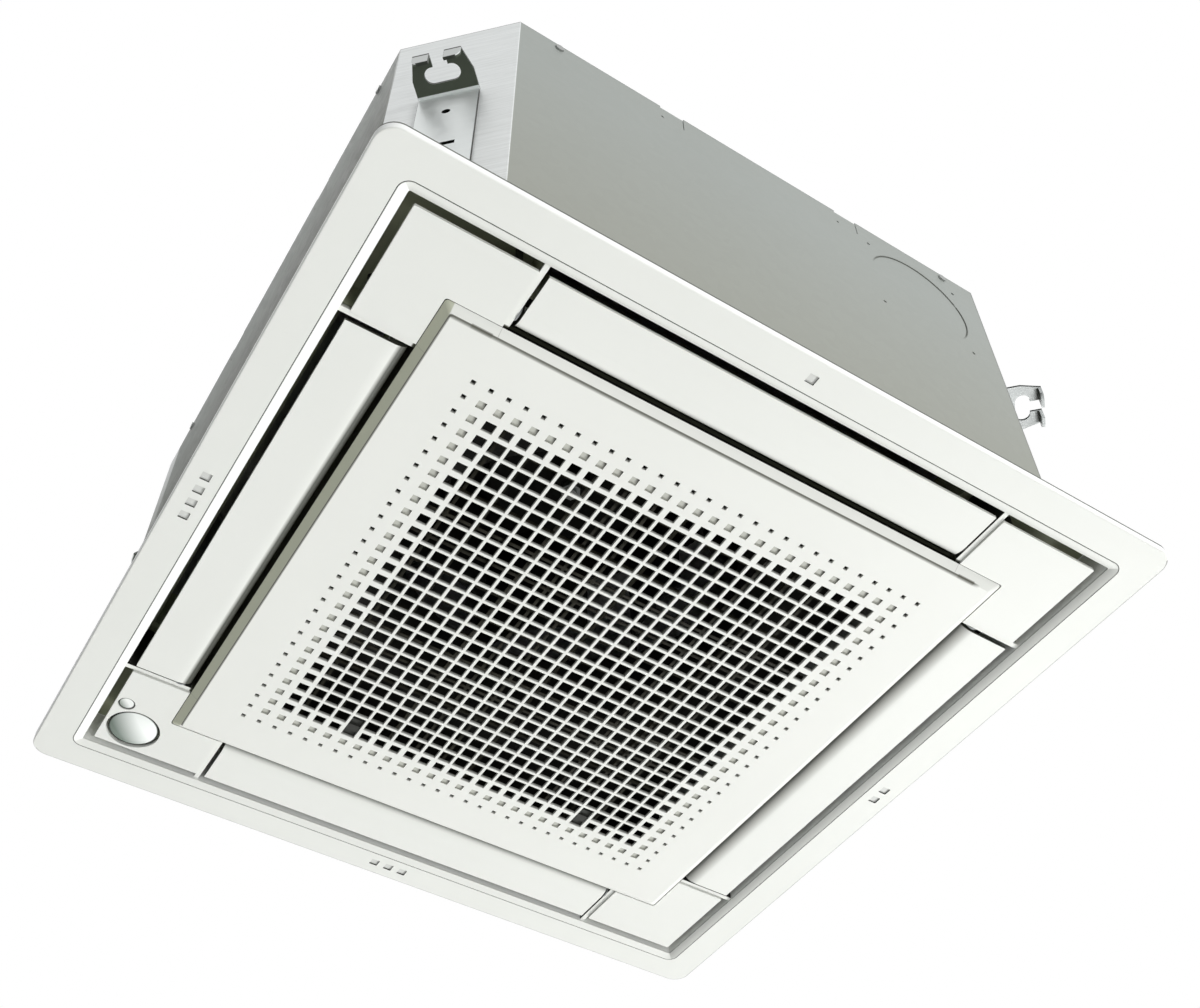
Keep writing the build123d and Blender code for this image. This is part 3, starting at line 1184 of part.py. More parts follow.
# Air flaps: a flat plate with its inner edge curled up round the axis, closed by end discs, with
# a pin at each end.
def make_flap(name, side):
    with BuildPart() as flap:
        with BuildSketch(section(side, -FLAP_HALF_L)):
            with Locations((NOSE_OUT, NOSE_Z)):
                Ellipse(NOSE_W, NOSE_H)
                Ellipse(NOSE_W - PLATE_T, NOSE_H - PLATE_T, mode=Mode.SUBTRACT)
                with Locations((NOSE_W, 0)):
                    Rectangle(2 * NOSE_W, 2 * NOSE_H, mode=Mode.SUBTRACT)
            with Locations(((NOSE_OUT + PLATE_HALF) / 2, PLATE_Z + PLATE_T / 2)):
                Rectangle(PLATE_HALF - NOSE_OUT, PLATE_T)
        extrude(amount=2 * FLAP_HALF_L)
        for end, way in ((-FLAP_HALF_L, 1), (FLAP_HALF_L, -1)):
            with BuildSketch(section(side, end)):
                with Locations((NOSE_OUT, NOSE_Z)):
                    Ellipse(NOSE_W, NOSE_H)
                    with Locations((NOSE_W, 0)):
                        Rectangle(2 * NOSE_W, 2 * NOSE_H, mode=Mode.SUBTRACT)
            extrude(amount=way * NOSE_END_T)
            with BuildSketch(section(side, end)):
                with Locations((AXIS_OUT, AXIS_Z)):
                    Circle(PIN_R)
            extrude(amount=-way * PIN_L)
    flap.part.label = "flap_" + name
    export_step(flap.part, "parts/flap_" + name + ".step")


# Flap motors: a round can outside the slot's end wall, with its output sleeve through the wall.
def make_flap_motor(name, side):
    pin_room = PIN_L - FLAP_END_GAP + GAP
    with BuildPart() as motor:
        with BuildSketch(section(side, -RIB_END)):
            with Locations((AXIS_OUT, AXIS_Z + FLAP_MOTOR_RAISE)):
                Circle(FLAP_MOTOR_R)
        extrude(amount=-FLAP_MOTOR_L)
        with BuildSketch(section(side, -RIB_END - FLAP_MOTOR_L)):
            with Locations((AXIS_OUT, AXIS_Z + FLAP_MOTOR_RAISE)):
                Rectangle(PLUG_W, PLUG_H)
        extrude(amount=-PLUG_D)
        with BuildSketch(section(side, -RIB_START)):
            with Locations((AXIS_OUT, AXIS_Z)):
                Circle(BUSH_R)
        extrude(amount=-RIB_T)
        with BuildSketch(section(side, -RIB_START)):
            with Locations((AXIS_OUT, AXIS_Z)):
                Circle(PIN_R + RUN_FIT)
        extrude(amount=-pin_room, mode=Mode.SUBTRACT)
    motor.part.label = "flap_motor_" + name
    export_step(motor.part, "parts/flap_motor_" + name + ".step")


for side_name, side_signs in SIDES.items():
    make_flap(side_name, side_signs)
    make_flap_motor(side_name, side_signs)

# Flanged bushes for the pins at the flaps' other ends.
with BuildPart() as flap_bushes:
    for side in SIDES.values():
        with BuildSketch(section(side, RIB_START)):
            with Locations((AXIS_OUT, AXIS_Z)):
                Circle(BUSH_HEAD_R)
                Circle(PIN_R + RUN_FIT, mode=Mode.SUBTRACT)
        extrude(amount=-BUSH_HEAD_T)
        with BuildSketch(section(side, RIB_START)):
            with Locations((AXIS_OUT, AXIS_Z)):
                Circle(BUSH_R)
                Circle(PIN_R + RUN_FIT, mode=Mode.SUBTRACT)
        extrude(amount=RIB_T)
flap_bushes.part.label = "flap_bushes"
export_step(flap_bushes.part, "parts/flap_bushes.step")

# Presence sensor: a translucent domed lens below the rear left cover.
DOME_BALL_R = (DOME_R**2 + DOME_RISE**2) / (2 * DOME_RISE)
with BuildPart() as sensor_lens:
    with BuildSketch(Plane(origin=(DOME_AT[0], DOME_AT[1], 0), x_dir=(1, 0, 0), z_dir=(0, -1, 0))):
        with BuildLine():
            Line((0, PLATE_Z - DOME_RISE / 2), (0, PLATE_TOP + DOME_SKIRT))
            Line((0, PLATE_TOP + DOME_SKIRT), (DOME_R, PLATE_TOP + DOME_SKIRT))
            Line((DOME_R, PLATE_TOP + DOME_SKIRT), (DOME_R, PLATE_Z + DOME_RISE / 2))
            RadiusArc((DOME_R, PLATE_Z + DOME_RISE / 2), (0, PLATE_Z - DOME_RISE / 2), DOME_BALL_R)
        make_face()
    revolve(axis=Axis((DOME_AT[0], DOME_AT[1], 0), (0, 0, 1)))
sensor_lens.part.label = "sensor_lens"
export_step(sensor_lens.part, "parts/sensor_lens.step")

# Sensor housing: a can from the lens up to the deck.
with BuildPart() as sensor_housing:
    with BuildSketch(level(PLATE_TOP + DOME_SKIRT)):
        with Locations(DOME_AT):
            Circle(DOME_R)
    extrude(amount=MOULD_T)
    with BuildSketch(level(PLATE_TOP + DOME_SKIRT + MOULD_T)):
        with Locations(DOME_AT):
            Circle(CUP_R)
    extrude(amount=DECK_Z - PLATE_TOP - DOME_SKIRT - MOULD_T)
sensor_housing.part.label = "sensor_housing"
export_step(sensor_housing.part, "parts/sensor_housing.step")

# Floor temperature sensor: a small button on a stem down from the deck.
with BuildPart() as floor_sensor:
    with BuildSketch(level(PLATE_Z + FLOOR_RISE / 2)):
        with Locations(FLOOR_AT):
            Circle(FLOOR_R)
    extrude(amount=PLATE_T)
    with BuildSketch(level(PLATE_Z + FLOOR_RISE / 2 + PLATE_T)):
        with Locations(FLOOR_AT):
            Circle(FLOOR_R - PLATE_T)
    extrude(amount=DECK_Z - PLATE_TOP - FLOOR_RISE / 2)
floor_sensor.part.label = "floor_sensor"
export_step(floor_sensor.part, "parts/floor_sensor.step")


# ================================================================ suction grille
def outline_at(z):
    """Half side of the grille's outer wall at a height."""
    return GRILLE_HALF - GRILLE_SLOPE_W * (EDGE_Z - z) / SLOPE_H


def lug_places():
    """Middles of the four lugs along X, one each side of each hook."""
    step = (HOOK_W + 2 * LUG_GAP + LUG_W) / 2
    return [x + way * step for x in (-HINGE_X, HINGE_X) for way in (-1, 1)]


# Grille: a thin square tray with a sloping rim. Its holes are square and shrink in the three
# outer rings, the second ring is blind, and two pairs of holes are joined for the latch tabs.
with BuildPart() as suction_grille:
    with BuildSketch(level(FACE_Z)):
        square(outline_at(FACE_Z), GRILLE_R)
    with BuildSketch(level(EDGE_Z)):
        square(GRILLE_HALF, GRILLE_R)
    loft(ruled=True)
    with BuildSketch(level(GRILLE_TOP)):
        square(outline_at(GRILLE_TOP) - GRILLE_RIM_W, GRILLE_R)
    with BuildSketch(level(EDGE_Z)):
        square(GRILLE_HALF - GRILLE_RIM_W, GRILLE_R)
    loft(ruled=True, mode=Mode.SUBTRACT)
    well_half = outline_at(FACE_Z) - GRILLE_RIM_W - GRILLE_R
    with BuildSketch(level(FACE_Z)):
        square(well_half)
    extrude(amount=GRILLE_T, mode=Mode.SUBTRACT)
    tip_half = RING_WALL_IN - LATCH_TIP_GAP + GAP
    with BuildSketch(level(LATCH_Z - GAP)):
        with Locations((-LATCH_X, (well_half + tip_half) / 2), (LATCH_X, (well_half + tip_half) / 2)):
            Rectangle(LATCH_W + 2 * GUIDE_SIDE, tip_half - well_half)
    extrude(amount=EDGE_Z - LATCH_Z + GAP, mode=Mode.SUBTRACT)
    for x in (-HINGE_X, HINGE_X):
        with BuildSketch(section(SIDES["front"], x - HOOK_W / 2 - LUG_GAP)):
            with Locations((HINGE_OUT, HINGE_Z)):
                Circle(HOOK_R + HOOK_ROOM)
        extrude(amount=HOOK_W + 2 * LUG_GAP, mode=Mode.SUBTRACT)
    for x in lug_places():
        with BuildSketch(section(SIDES["front"], x - LUG_W / 2)):
            with Locations((HINGE_OUT, (GRILLE_TOP + HINGE_Z) / 2)):
                Rectangle(2 * LUG_HALF, HINGE_Z - GRILLE_TOP)
            with Locations((HINGE_OUT, HINGE_Z)):
                Circle(LUG_HALF)
                Circle(HINGE_PIN_R + SEAT_FIT, mode=Mode.SUBTRACT)
        extrude(amount=LUG_W)
    with BuildSketch(level(GRILLE_TOP)):
        pad_at = FILTER_HALF - PAD / 2
        with GridLocations(2 * pad_at, 2 * pad_at, 2, 2):
            Rectangle(PAD, PAD)
    extrude(amount=FILTER_Z - GRILLE_TOP)
    guide_y = GRILLE_HALF - GUIDE_IN - GUIDE_L / 2
    guide_out = LATCH_W / 2 + GUIDE_SIDE + GUIDE_T / 2
    cap_z = LATCH_Z + LATCH_T + GUIDE_SIDE
    with BuildSketch(level(GRILLE_TOP)):
        for x in (-LATCH_X, LATCH_X):
            with Locations((x - guide_out, guide_y), (x + guide_out, guide_y)):
                Rectangle(GUIDE_T, GUIDE_L)
    extrude(amount=cap_z - GRILLE_TOP)
    with BuildSketch(level(cap_z)):
        with Locations((-LATCH_X, guide_y), (LATCH_X, guide_y)):
            Rectangle(2 * guide_out + GUIDE_T, GUIDE_L)
    extrude(amount=GUIDE_T)
    with BuildSketch(level(FACE_Z)):
        square(well_half)
        for ring, size in enumerate(HOLE_SIDES):
            if ring != 1:
                with Locations(*hole_ring(ring)):
                    Rectangle(size, size, mode=Mode.SUBTRACT)
        inner_count = HOLE_COUNT - 2 * len(HOLE_SIDES)
        with GridLocations(HOLE_PITCH, HOLE_PITCH, inner_count, inner_count):
            Rectangle(HOLE_SIDE, HOLE_SIDE, mode=Mode.SUBTRACT)
        with Locations((-LATCH_X, LATCH_Y), (LATCH_X, LATCH_Y)):
            Rectangle(HOLE_SIDE, HOLE_SIDE + HOLE_PITCH, mode=Mode.SUBTRACT)
    extrude(amount=GRILLE_T)
    with BuildSketch(level(FACE_Z)):
        with Locations(*hole_ring(1)):
            Rectangle(HOLE_SIDES[1], HOLE_SIDES[1])
    extrude(amount=BLIND_DEPTH, mode=Mode.SUBTRACT)
suction_grille.part.label = "suction_grille"
export_step(suction_grille.part, "parts/suction_grille.step")

# Hinge pins, fixed in the grille's lugs and turning in the frame's hooks.
with BuildPart() as hinge_pins:
    pin_l = HOOK_W + 2 * LUG_GAP + 2 * LUG_W
    for x in (-HINGE_X, HINGE_X):
        with BuildSketch(section(SIDES["front"], x - pin_l / 2)):
            with Locations((HINGE_OUT, HINGE_Z)):
                Circle(HINGE_PIN_R)
        extrude(amount=pin_l)
hinge_pins.part.label = "hinge_pins"
export_step(hinge_pins.part, "parts/hinge_pins.step")

# Air filter frame on the grille's pads: a rim with thinner cross ribs.
with BuildPart() as filter_frame:
    with BuildSketch(level(FILTER_Z)):
        square(FILTER_HALF)
        square(FILTER_HALF - FILTER_RIM, mode=Mode.SUBTRACT)
    extrude(amount=FILTER_T)
    with BuildSketch(level(FILTER_Z)):
        square(FILTER_HALF - FILTER_RIM)
        cell = 2 * (FILTER_HALF - FILTER_RIM) / FILTER_CELLS
        with GridLocations(cell, cell, FILTER_CELLS, FILTER_CELLS):
            Rectangle(cell - FILTER_RIB, cell - FILTER_RIB, mode=Mode.SUBTRACT)
    extrude(amount=FILTER_T - RIB_SINK)
filter_frame.part.label = "filter_frame"
export_step(filter_frame.part, "parts/filter_frame.step")

# Filter net, one holed sheet on the ribs.
with BuildPart() as filter_net:
    with BuildSketch(level(FILTER_Z + FILTER_T - RIB_SINK)):
        net_half = FILTER_HALF - FILTER_RIM - GAP
        square(net_half)
        cell = 2 * net_half / NET_CELLS
        with GridLocations(cell, cell, NET_CELLS, NET_CELLS):
            Rectangle(cell - NET_STRAND, cell - NET_STRAND, mode=Mode.SUBTRACT)
    extrude(amount=NET_T)
filter_net.part.label = "filter_net"
export_step(filter_net.part, "parts/filter_net.step")


# Latches: a sliding bar on top of the grille with a finger tab down in the joined holes.
def make_latch(name, x):
    tab_y = LATCH_Y + HOLE_SIDE / 2 - TAB_L / 2
    tail_y = tab_y - TAB_L / 2 - LATCH_TAIL
    tip_y = RING_WALL_IN - LATCH_TIP_GAP
    with BuildPart() as latch:
        with BuildSketch(level(LATCH_Z)):
            with Locations((x, (tail_y + tip_y) / 2)):
                Rectangle(LATCH_W, tip_y - tail_y)
        extrude(amount=LATCH_T)
        with BuildSketch(level(LATCH_Z)):
            with Locations((x, tab_y)):
                RectangleRounded(TAB_W, TAB_L, TAB_L / 4)
        extrude(amount=-TAB_H)
    latch.part.label = "latch_" + name
    export_step(latch.part, "parts/latch_" + name + ".step")


make_latch("left", -LATCH_X)
make_latch("right", LATCH_X)
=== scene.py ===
import bmesh
import bpy
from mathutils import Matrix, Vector

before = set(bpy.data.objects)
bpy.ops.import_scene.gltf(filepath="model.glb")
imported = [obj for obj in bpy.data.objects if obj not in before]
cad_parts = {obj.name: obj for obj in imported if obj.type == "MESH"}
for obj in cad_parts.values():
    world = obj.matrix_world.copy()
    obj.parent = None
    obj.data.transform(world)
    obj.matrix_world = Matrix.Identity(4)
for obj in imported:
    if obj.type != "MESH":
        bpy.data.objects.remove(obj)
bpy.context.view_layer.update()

# ------------------------------------------------------------------ camera
# The photographer stands below the ceiling, off the front left corner, and looks up into the panel
# with a slightly long lens. The object hangs with its panel's back in the plane of the ceiling.
CAMERA_AT = Vector((-0.40145, -0.67111, -0.78170))
CAMERA_AIM = Vector((-0.05135, -0.10799, 0.0))


def link(name, data):
    made = bpy.data.objects.new(name, data)
    bpy.context.scene.collection.objects.link(made)
    return made


def aim(thing, at, target):
    thing.location = at
    thing.rotation_euler = (target - at).to_track_quat("-Z", "Y").to_euler()


camera_data = bpy.data.cameras.new("camera")
camera_data.sensor_width = 36.0
camera_data.lens = 44.18
camera_data.shift_x = 0.01112
camera_data.shift_y = 0.02298
camera_data.clip_start = 0.01
camera = link("camera", camera_data)
aim(camera, CAMERA_AT, CAMERA_AIM)
bpy.context.scene.camera = camera
bpy.context.scene.view_settings.view_transform = "Standard"

# ------------------------------------------------------------------ studio
# A pale floor far below the hanging unit, a white surround that the camera and the metal see, and
# four soft lamps: a strong one low at the right, a weak one low in front, one level with the body
# in front of it, and a weak one above.
FLOOR_Z = -3.90
FLOOR_HALF = 6.0
FLOOR_GLOW = 0.95  # share of white that the camera sees in the floor, so it meets the surround
SKY_STRENGTH = 0.385
LAMPS = {  # where it stands, where it points, its side in metres and its power in watts
    "lamp_right": ((4.1, 2.2, -3.35), (0.0, 0.0, 0.0), 1.9, 284.0),
    "lamp_low": ((0.6, -3.0, -2.6), (0.0, 0.0, 0.0), 1.4, 40.0),
    "lamp_front": ((0.9, -3.1, 0.3), (0.0, 0.0, 0.15), 1.2, 54.0),
    "lamp_above": ((0.2, 1.0, 2.6), (0.0, 0.0, 0.2), 1.5, 26.0),
}


def tree_node(tree, kind, **values):
    """A shader node. Capitalised names are its inputs, the others its own settings."""
    made = tree.nodes.new(kind)
    for key, value in values.items():
        if key[0].isupper():
            made.inputs[key.replace("_", " ")].default_value = value
        else:
            setattr(made, key, value)
    return made


def number(tree, operation, *values):
    """One sum on sockets and plain numbers."""
    made = tree_node(tree, "ShaderNodeMath", operation=operation)
    for slot, value in zip(made.inputs, values):
        if isinstance(value, (int, float)):
            slot.default_value = value
        else:
            tree.links.new(value, slot)
    return made.outputs[0]


def both(tree, *masks):
    """The product of masks and plain numbers."""
    total = masks[0]
    for mask in masks[1:]:
        total = number(tree, "MULTIPLY", total, mask)
    return total


def either_of(tree, *masks):
    """The largest of several masks."""
    total = masks[0]
    for mask in masks[1:]:
        total = number(tree, "MAXIMUM", total, mask)
    return total


def mix_colours(tree, factor, low, high):
    made = tree_node(tree, "ShaderNodeMix", data_type="RGBA")
    tree.links.new(factor, made.inputs["Factor"])
    for socket, value in ((made.inputs[6], low), (made.inputs[7], high)):
        if isinstance(value, tuple):
            socket.default_value = (*value, 1.0)
        else:
            tree.links.new(value, socket)
    return made.outputs[2]


def mix_shaders(tree, factor, low, high):
    made = tree_node(tree, "ShaderNodeMixShader")
    tree.links.new(factor, made.inputs["Fac"])
    tree.links.new(low.outputs[0], made.inputs[1])
    tree.links.new(high.outputs[0], made.inputs[2])
    return made.outputs[0]


def new_material(name):
    made = bpy.data.materials.new(name)
    made.use_nodes = True
    return made, made.node_tree, made.node_tree.nodes["Principled BSDF"]


def pale_floor():
    made, tree, shader = new_material("pale_floor")
    grain = tree_node(tree, "ShaderNodeTexNoise", Scale=3.0, Detail=4.0)
    place = tree_node(tree, "ShaderNodeTexCoord")
    tree.links.new(place.outputs["Object"], grain.inputs["Vector"])
    tones = mix_colours(tree, grain.outputs["Fac"], (0.80, 0.80, 0.79), (0.86, 0.86, 0.85))
    tree.links.new(tones, shader.inputs["Base Color"])
    shader.inputs["Roughness"].default_value = 0.9
    path = tree_node(tree, "ShaderNodeLightPath")
    glow = tree_node(tree, "ShaderNodeEmission", Color=(1, 1, 1, 1), Strength=1.0)
    share = both(tree, path.outputs["Is Camera Ray"], FLOOR_GLOW)
    surface = mix_shaders(tree, share, shader, glow)
    tree.links.new(surface, tree.nodes["Material Output"].inputs["Surface"])
    return made


floor_mesh = bmesh.new()
bmesh.ops.create_grid(floor_mesh, x_segments=4, y_segments=4, size=FLOOR_HALF)
bmesh.ops.translate(floor_mesh, verts=floor_mesh.verts, vec=(0, 0, FLOOR_Z))
floor_data = bpy.data.meshes.new("floor")
floor_mesh.to_mesh(floor_data)
floor_mesh.free()
floor = link("floor", floor_data)
floor_data.materials.append(pale_floor())

world = bpy.data.worlds.new("surround")
bpy.context.scene.world = world
world.use_nodes = True
sky = world.node_tree
sky.nodes.clear()
sky_seen = tree_node(sky, "ShaderNodeBackground", Color=(1, 1, 1, 1), Strength=1.0)
sky_light = tree_node(
    sky, "ShaderNodeBackground", Color=(0.97, 0.99, 1.0, 1), Strength=SKY_STRENGTH)
sky_path = tree_node(sky, "ShaderNodeLightPath")
sky_out = tree_node(sky, "ShaderNodeOutputWorld")
white_rays = either_of(
    sky, sky_path.outputs["Is Camera Ray"], sky_path.outputs["Is Glossy Ray"],
    sky_path.outputs["Is Transmission Ray"])
sky.links.new(mix_shaders(sky, white_rays, sky_light, sky_seen), sky_out.inputs["Surface"])

for lamp_name, (lamp_at, lamp_aim, lamp_size, lamp_power) in LAMPS.items():
    lamp_data = bpy.data.lights.new(lamp_name, "AREA")
    lamp_data.size = lamp_size
    lamp_data.energy = lamp_power
    aim(link(lamp_name, lamp_data), Vector(lamp_at), Vector(lamp_aim))

# ------------------------------------------------------------------ panel frame
# One injection moulding in satin off-white plastic, spark-eroded to a very fine grain. Painted
# shade darkens it inside the slope round its recess and makes it nearly black in the air slots
# and behind the plates; painted light and shade lie on its slope, edges and marks too.
WHITE_DARK = (0.775, 0.785, 0.745)
WHITE_PALE = (0.800, 0.810, 0.772)
SHADOW = (0.055, 0.058, 0.040)
SIDES = {  # the coordinate outward, its sign, and the coordinate along the side
    "front": ("Y", -1.0, "X"),
    "right": ("X", 1.0, "Y"),
    "rear": ("Y", 1.0, "X"),
    "left": ("X", -1.0, "Y"),
}
PANEL_OUT = 310.0  # millimetres out from the middle, as all that is called out
FLANGE_CORNER = 296.0  # where its rounded corners begin
MARKS_OUT = (291.5, 300.5)
LINE_OUT = (283.9, 284.95)
SLOPE_OUT = (277.6, 284.0)
WALL_OUT = 278.0
RECESS_OUT = 276.9
RECESS_CORNER = 276.2
SLOTS_IN = 227.0  # the air slots' inner edge
FLANGE_UP = -7.2  # millimetres from the ceiling's plane, as all that is called up
MARK_FLOOR_UP = -6.1
PLATES_UP = -5.2  # faces of flaps and covers
RIBS_UP = -3.4


def new_group(name, inputs, outputs):
    """A shader node group whose sockets are all plain numbers."""
    made = bpy.data.node_groups.new(name, "ShaderNodeTree")
    for label, value in inputs:
        socket = made.interface.new_socket(label, in_out="INPUT", socket_type="NodeSocketFloat")
        socket.default_value = value
    for label in outputs:
        made.interface.new_socket(label, in_out="OUTPUT", socket_type="NodeSocketFloat")
    return made, made.nodes.new("NodeGroupInput"), made.nodes.new("NodeGroupOutput")


def grain_group():
    """Fine moulded grain and faint cloudiness, both from the piece's own coordinates."""
    group, given, result = new_group(
        "fine_grain", [("Grain Scale", 1800.0), ("Cloud Scale", 9.0)], ["Height", "Cloud"])
    place = tree_node(group, "ShaderNodeTexCoord")
    grain = tree_node(group, "ShaderNodeTexNoise", Detail=3.0, Roughness=0.6)
    cloud = tree_node(group, "ShaderNodeTexNoise", Detail=2.0, Roughness=0.5)
    group.links.new(place.outputs["Object"], grain.inputs["Vector"])
    group.links.new(place.outputs["Object"], cloud.inputs["Vector"])
    group.links.new(given.outputs["Grain Scale"], grain.inputs["Scale"])
    group.links.new(given.outputs["Cloud Scale"], cloud.inputs["Scale"])
    group.links.new(grain.outputs["Fac"], result.inputs["Height"])
    group.links.new(cloud.outputs["Fac"], result.inputs["Cloud"])
    return group


def size_of(tree, value):
    return number(tree, "ABSOLUTE", value)


def less(tree, value, taken):
    return number(tree, "SUBTRACT", value, taken)


def distance(tree, x, y):
    squares = number(
        tree, "ADD", number(tree, "MULTIPLY", x, x), number(tree, "MULTIPLY", y, y))
    return number(tree, "SQRT", squares)


def square_group():
    """Where a point lies on the square unit, in millimetres.

    X and Y are level and Up is height, as in the frame. Out is the distance from the middle to the
    side, Round Out the same with rounded corners, and Diagonal is largest on the corner faces.
    """
    group, given, result = new_group(
        "square_place", [("Corner Half", RECESS_CORNER)],
        ["X", "Y", "Up", "Out", "Round Out", "Diagonal"])
    place = tree_node(group, "ShaderNodeTexCoord")
    parts = tree_node(group, "ShaderNodeSeparateXYZ")
    group.links.new(place.outputs["Object"], parts.inputs[0])
    x, y, up = [number(group, "MULTIPLY", parts.outputs[axis], 1000.0) for axis in "XYZ"]
    x_size, y_size = size_of(group, x), size_of(group, y)
    half = given.outputs["Corner Half"]
    x_over = number(group, "MAXIMUM", less(group, x_size, half), 0.0)
    y_over = number(group, "MAXIMUM", less(group, y_size, half), 0.0)
    places = {
        "X": x,
        "Y": y,
        "Up": up,
        "Out": number(group, "MAXIMUM", x_size, y_size),
        "Round Out": number(group, "ADD", distance(group, x_over, y_over), half),
        "Diagonal": number(group, "ADD", x_size, y_size),
    }
    for label, socket in places.items():
        group.links.new(socket, result.inputs[label])
    return group


FINE_GRAIN = grain_group()
SQUARE_PLACE = square_group()


def place_group(tree, group, **values):
    made = tree.nodes.new("ShaderNodeGroup")
    made.node_tree = group
    for key, value in values.items():
        made.inputs[key.replace("_", " ")].default_value = value
    return made


def ramp(tree, value, start, end):
    """Rises from 0 at start to 1 at end, and stays there; millimetres when the value is."""
    made = tree_node(tree, "ShaderNodeMapRange", From_Min=start, From_Max=end)
    tree.links.new(value, made.inputs["Value"])
    return made.outputs["Result"]


def spread(tree, value, low, high):
    """A number from 0 to 1 spread between two limits."""
    made = tree_node(tree, "ShaderNodeMapRange", To_Min=low, To_Max=high)
    tree.links.new(value, made.inputs["Value"])
    return made.outputs["Result"]


def band(tree, value, low, high, soft):
    """1 between low and high, falling to 0 over a soft edge on each side."""
    return both(tree, ramp(tree, value, low - soft, low), ramp(tree, value, high + soft, high))


def add_bump(tree, shader, height, depth):
    made = tree_node(tree, "ShaderNodeBump", Distance=depth)
    tree.links.new(height, made.inputs["Height"])
    tree.links.new(made.outputs["Normal"], shader.inputs["Normal"])


def plastic(name, dark, pale, rough, grain_scale=1800.0, depth=0.00003, cloud_scale=9.0):
    """Moulded plastic: two close tones in soft clouds, and a fine grain in the surface."""
    made, tree, shader = new_material(name)
    grain = place_group(tree, FINE_GRAIN, Grain_Scale=grain_scale, Cloud_Scale=cloud_scale)
    cloud = grain.outputs["Cloud"]
    tree.links.new(mix_colours(tree, cloud, dark, pale), shader.inputs["Base Color"])
    tree.links.new(spread(tree, cloud, rough - 0.04, rough + 0.04), shader.inputs["Roughness"])
    add_bump(tree, shader, grain.outputs["Height"], depth)
    shader.inputs["Specular IOR Level"].default_value = 0.14
    return made


def paint_over(material, mask_of, colour):
    """Lays a second tone over the material's colour where the mask is 1."""
    tree = material.node_tree
    base = tree.nodes["Principled BSDF"].inputs["Base Color"]
    below = base.links[0].from_socket
    mask = mask_of(tree, place_group(tree, SQUARE_PLACE).outputs)
    tree.links.new(mix_colours(tree, mask, below, colour), base)


def dress(material, *names):
    """Gives CAD nodes their finish."""
    for name in names:
        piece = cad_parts[name]
        piece.data.materials.clear()
        piece.data.materials.append(material)


def on_side(tree, at, side):
    """1 on one side of the unit, as far as the mitre at each corner."""
    out, sign, along = SIDES[side]
    return ramp(tree, less(tree, both(tree, at[out], sign), size_of(tree, at[along])), -0.3, 0.3)


def from_side_middle(tree, at):
    """Distance along a side from its middle."""
    return number(tree, "MINIMUM", size_of(tree, at["X"]), size_of(tree, at["Y"]))


def recess_wall(tree, at):
    return band(tree, at["Out"], RECESS_OUT, WALL_OUT, 0.2)


def behind_recess(tree, at):
    """Painted shade on all further in than the recess walls, and on the grille's ring wall."""
    inside = both(
        tree, ramp(tree, at["Out"], RECESS_OUT, RECESS_OUT - 0.2),
        ramp(tree, at["Up"], RIBS_UP + 0.1, RIBS_UP + 4.1))
    ring_wall = both(
        tree, ramp(tree, at["Out"], SLOTS_IN, SLOTS_IN - 1.0),
        ramp(tree, at["Up"], RIBS_UP - 0.3, RIBS_UP - 0.1))
    return either_of(tree, inside, ring_wall)


def lit_outer_gap(tree, at):
    """Painted light on the moulding up behind the gap between the plates and the recess."""
    across = band(tree, at["Out"], 258.0, RECESS_OUT - 0.1, 4.0)
    return both(tree, across, ramp(tree, at["Up"], 0.0, 2.0))


# Painted light on the recess walls at the rear and right, above the plates' faces.
def lit_walls(tree, at):
    lit = either_of(tree, on_side(tree, at, "rear"), on_side(tree, at, "right"))
    upper = ramp(tree, at["Up"], PLATES_UP + 0.2, PLATES_UP + 1.6)
    return both(tree, recess_wall(tree, at), upper, lit)


def rib_side_shade(tree, at):
    """The ribs' sides at the flaps' ends, painted dark as shade in the air slots."""
    beside = band(tree, from_side_middle(tree, at), 181.3, 181.62, 0.06)
    in_slot = ramp(tree, at["Out"], SLOTS_IN - 1.0, SLOTS_IN - 0.5)
    return both(tree, beside, in_slot, ramp(tree, at["Up"], RIBS_UP + 0.05, RIBS_UP + 0.3))


def on_slope(tree, at):
    across = band(tree, at["Round Out"], *SLOPE_OUT, 0.1)
    return both(tree, across, band(tree, at["Up"], FLANGE_UP + 0.05, PLATES_UP + 0.2, 0.04))


# Painted shade on the right of the slope round the recess, and on the recess wall above the plates.
def right_slope_shade(tree, at):
    slope = both(tree, on_slope(tree, at), ramp(tree, at["Round Out"], 289.0, 278.0))
    wall = both(tree, recess_wall(tree, at), ramp(tree, at["Up"], PLATES_UP - 0.4, PLATES_UP))
    return both(tree, either_of(tree, slope, wall), on_side(tree, at, "right"))


# Painted shade on the front of the slope, deepening towards the recess.
def front_slope_shade(tree, at):
    fade = ramp(tree, at["Round Out"], 281.5, 277.5)
    return both(tree, on_slope(tree, at), on_side(tree, at, "front"), fade, 0.5)


# Painted light on the left of the slope round the recess.
def recess_left_light(tree, at):
    return both(tree, on_slope(tree, at), on_side(tree, at, "left"))


def recess_step_shade(tree, at):
    """The fine step between the slope and the flange, painted dark as shade."""
    across = band(tree, at["Round Out"], *LINE_OUT, 0.05)
    return both(tree, across, band(tree, at["Up"], FLANGE_UP + 0.08, FLANGE_UP + 0.6, 0.03))


def flange_out(tree):
    return place_group(tree, SQUARE_PLACE, Corner_Half=FLANGE_CORNER).outputs["Round Out"]


# Painted highlight on the flange's outer edge, nearly white.
def flange_rim_highlight(tree, at):
    edge = ramp(tree, flange_out(tree), PANEL_OUT - 0.8, PANEL_OUT - 0.2)
    return both(tree, edge, ramp(tree, at["Up"], FLANGE_UP + 0.2, FLANGE_UP + 1.0))


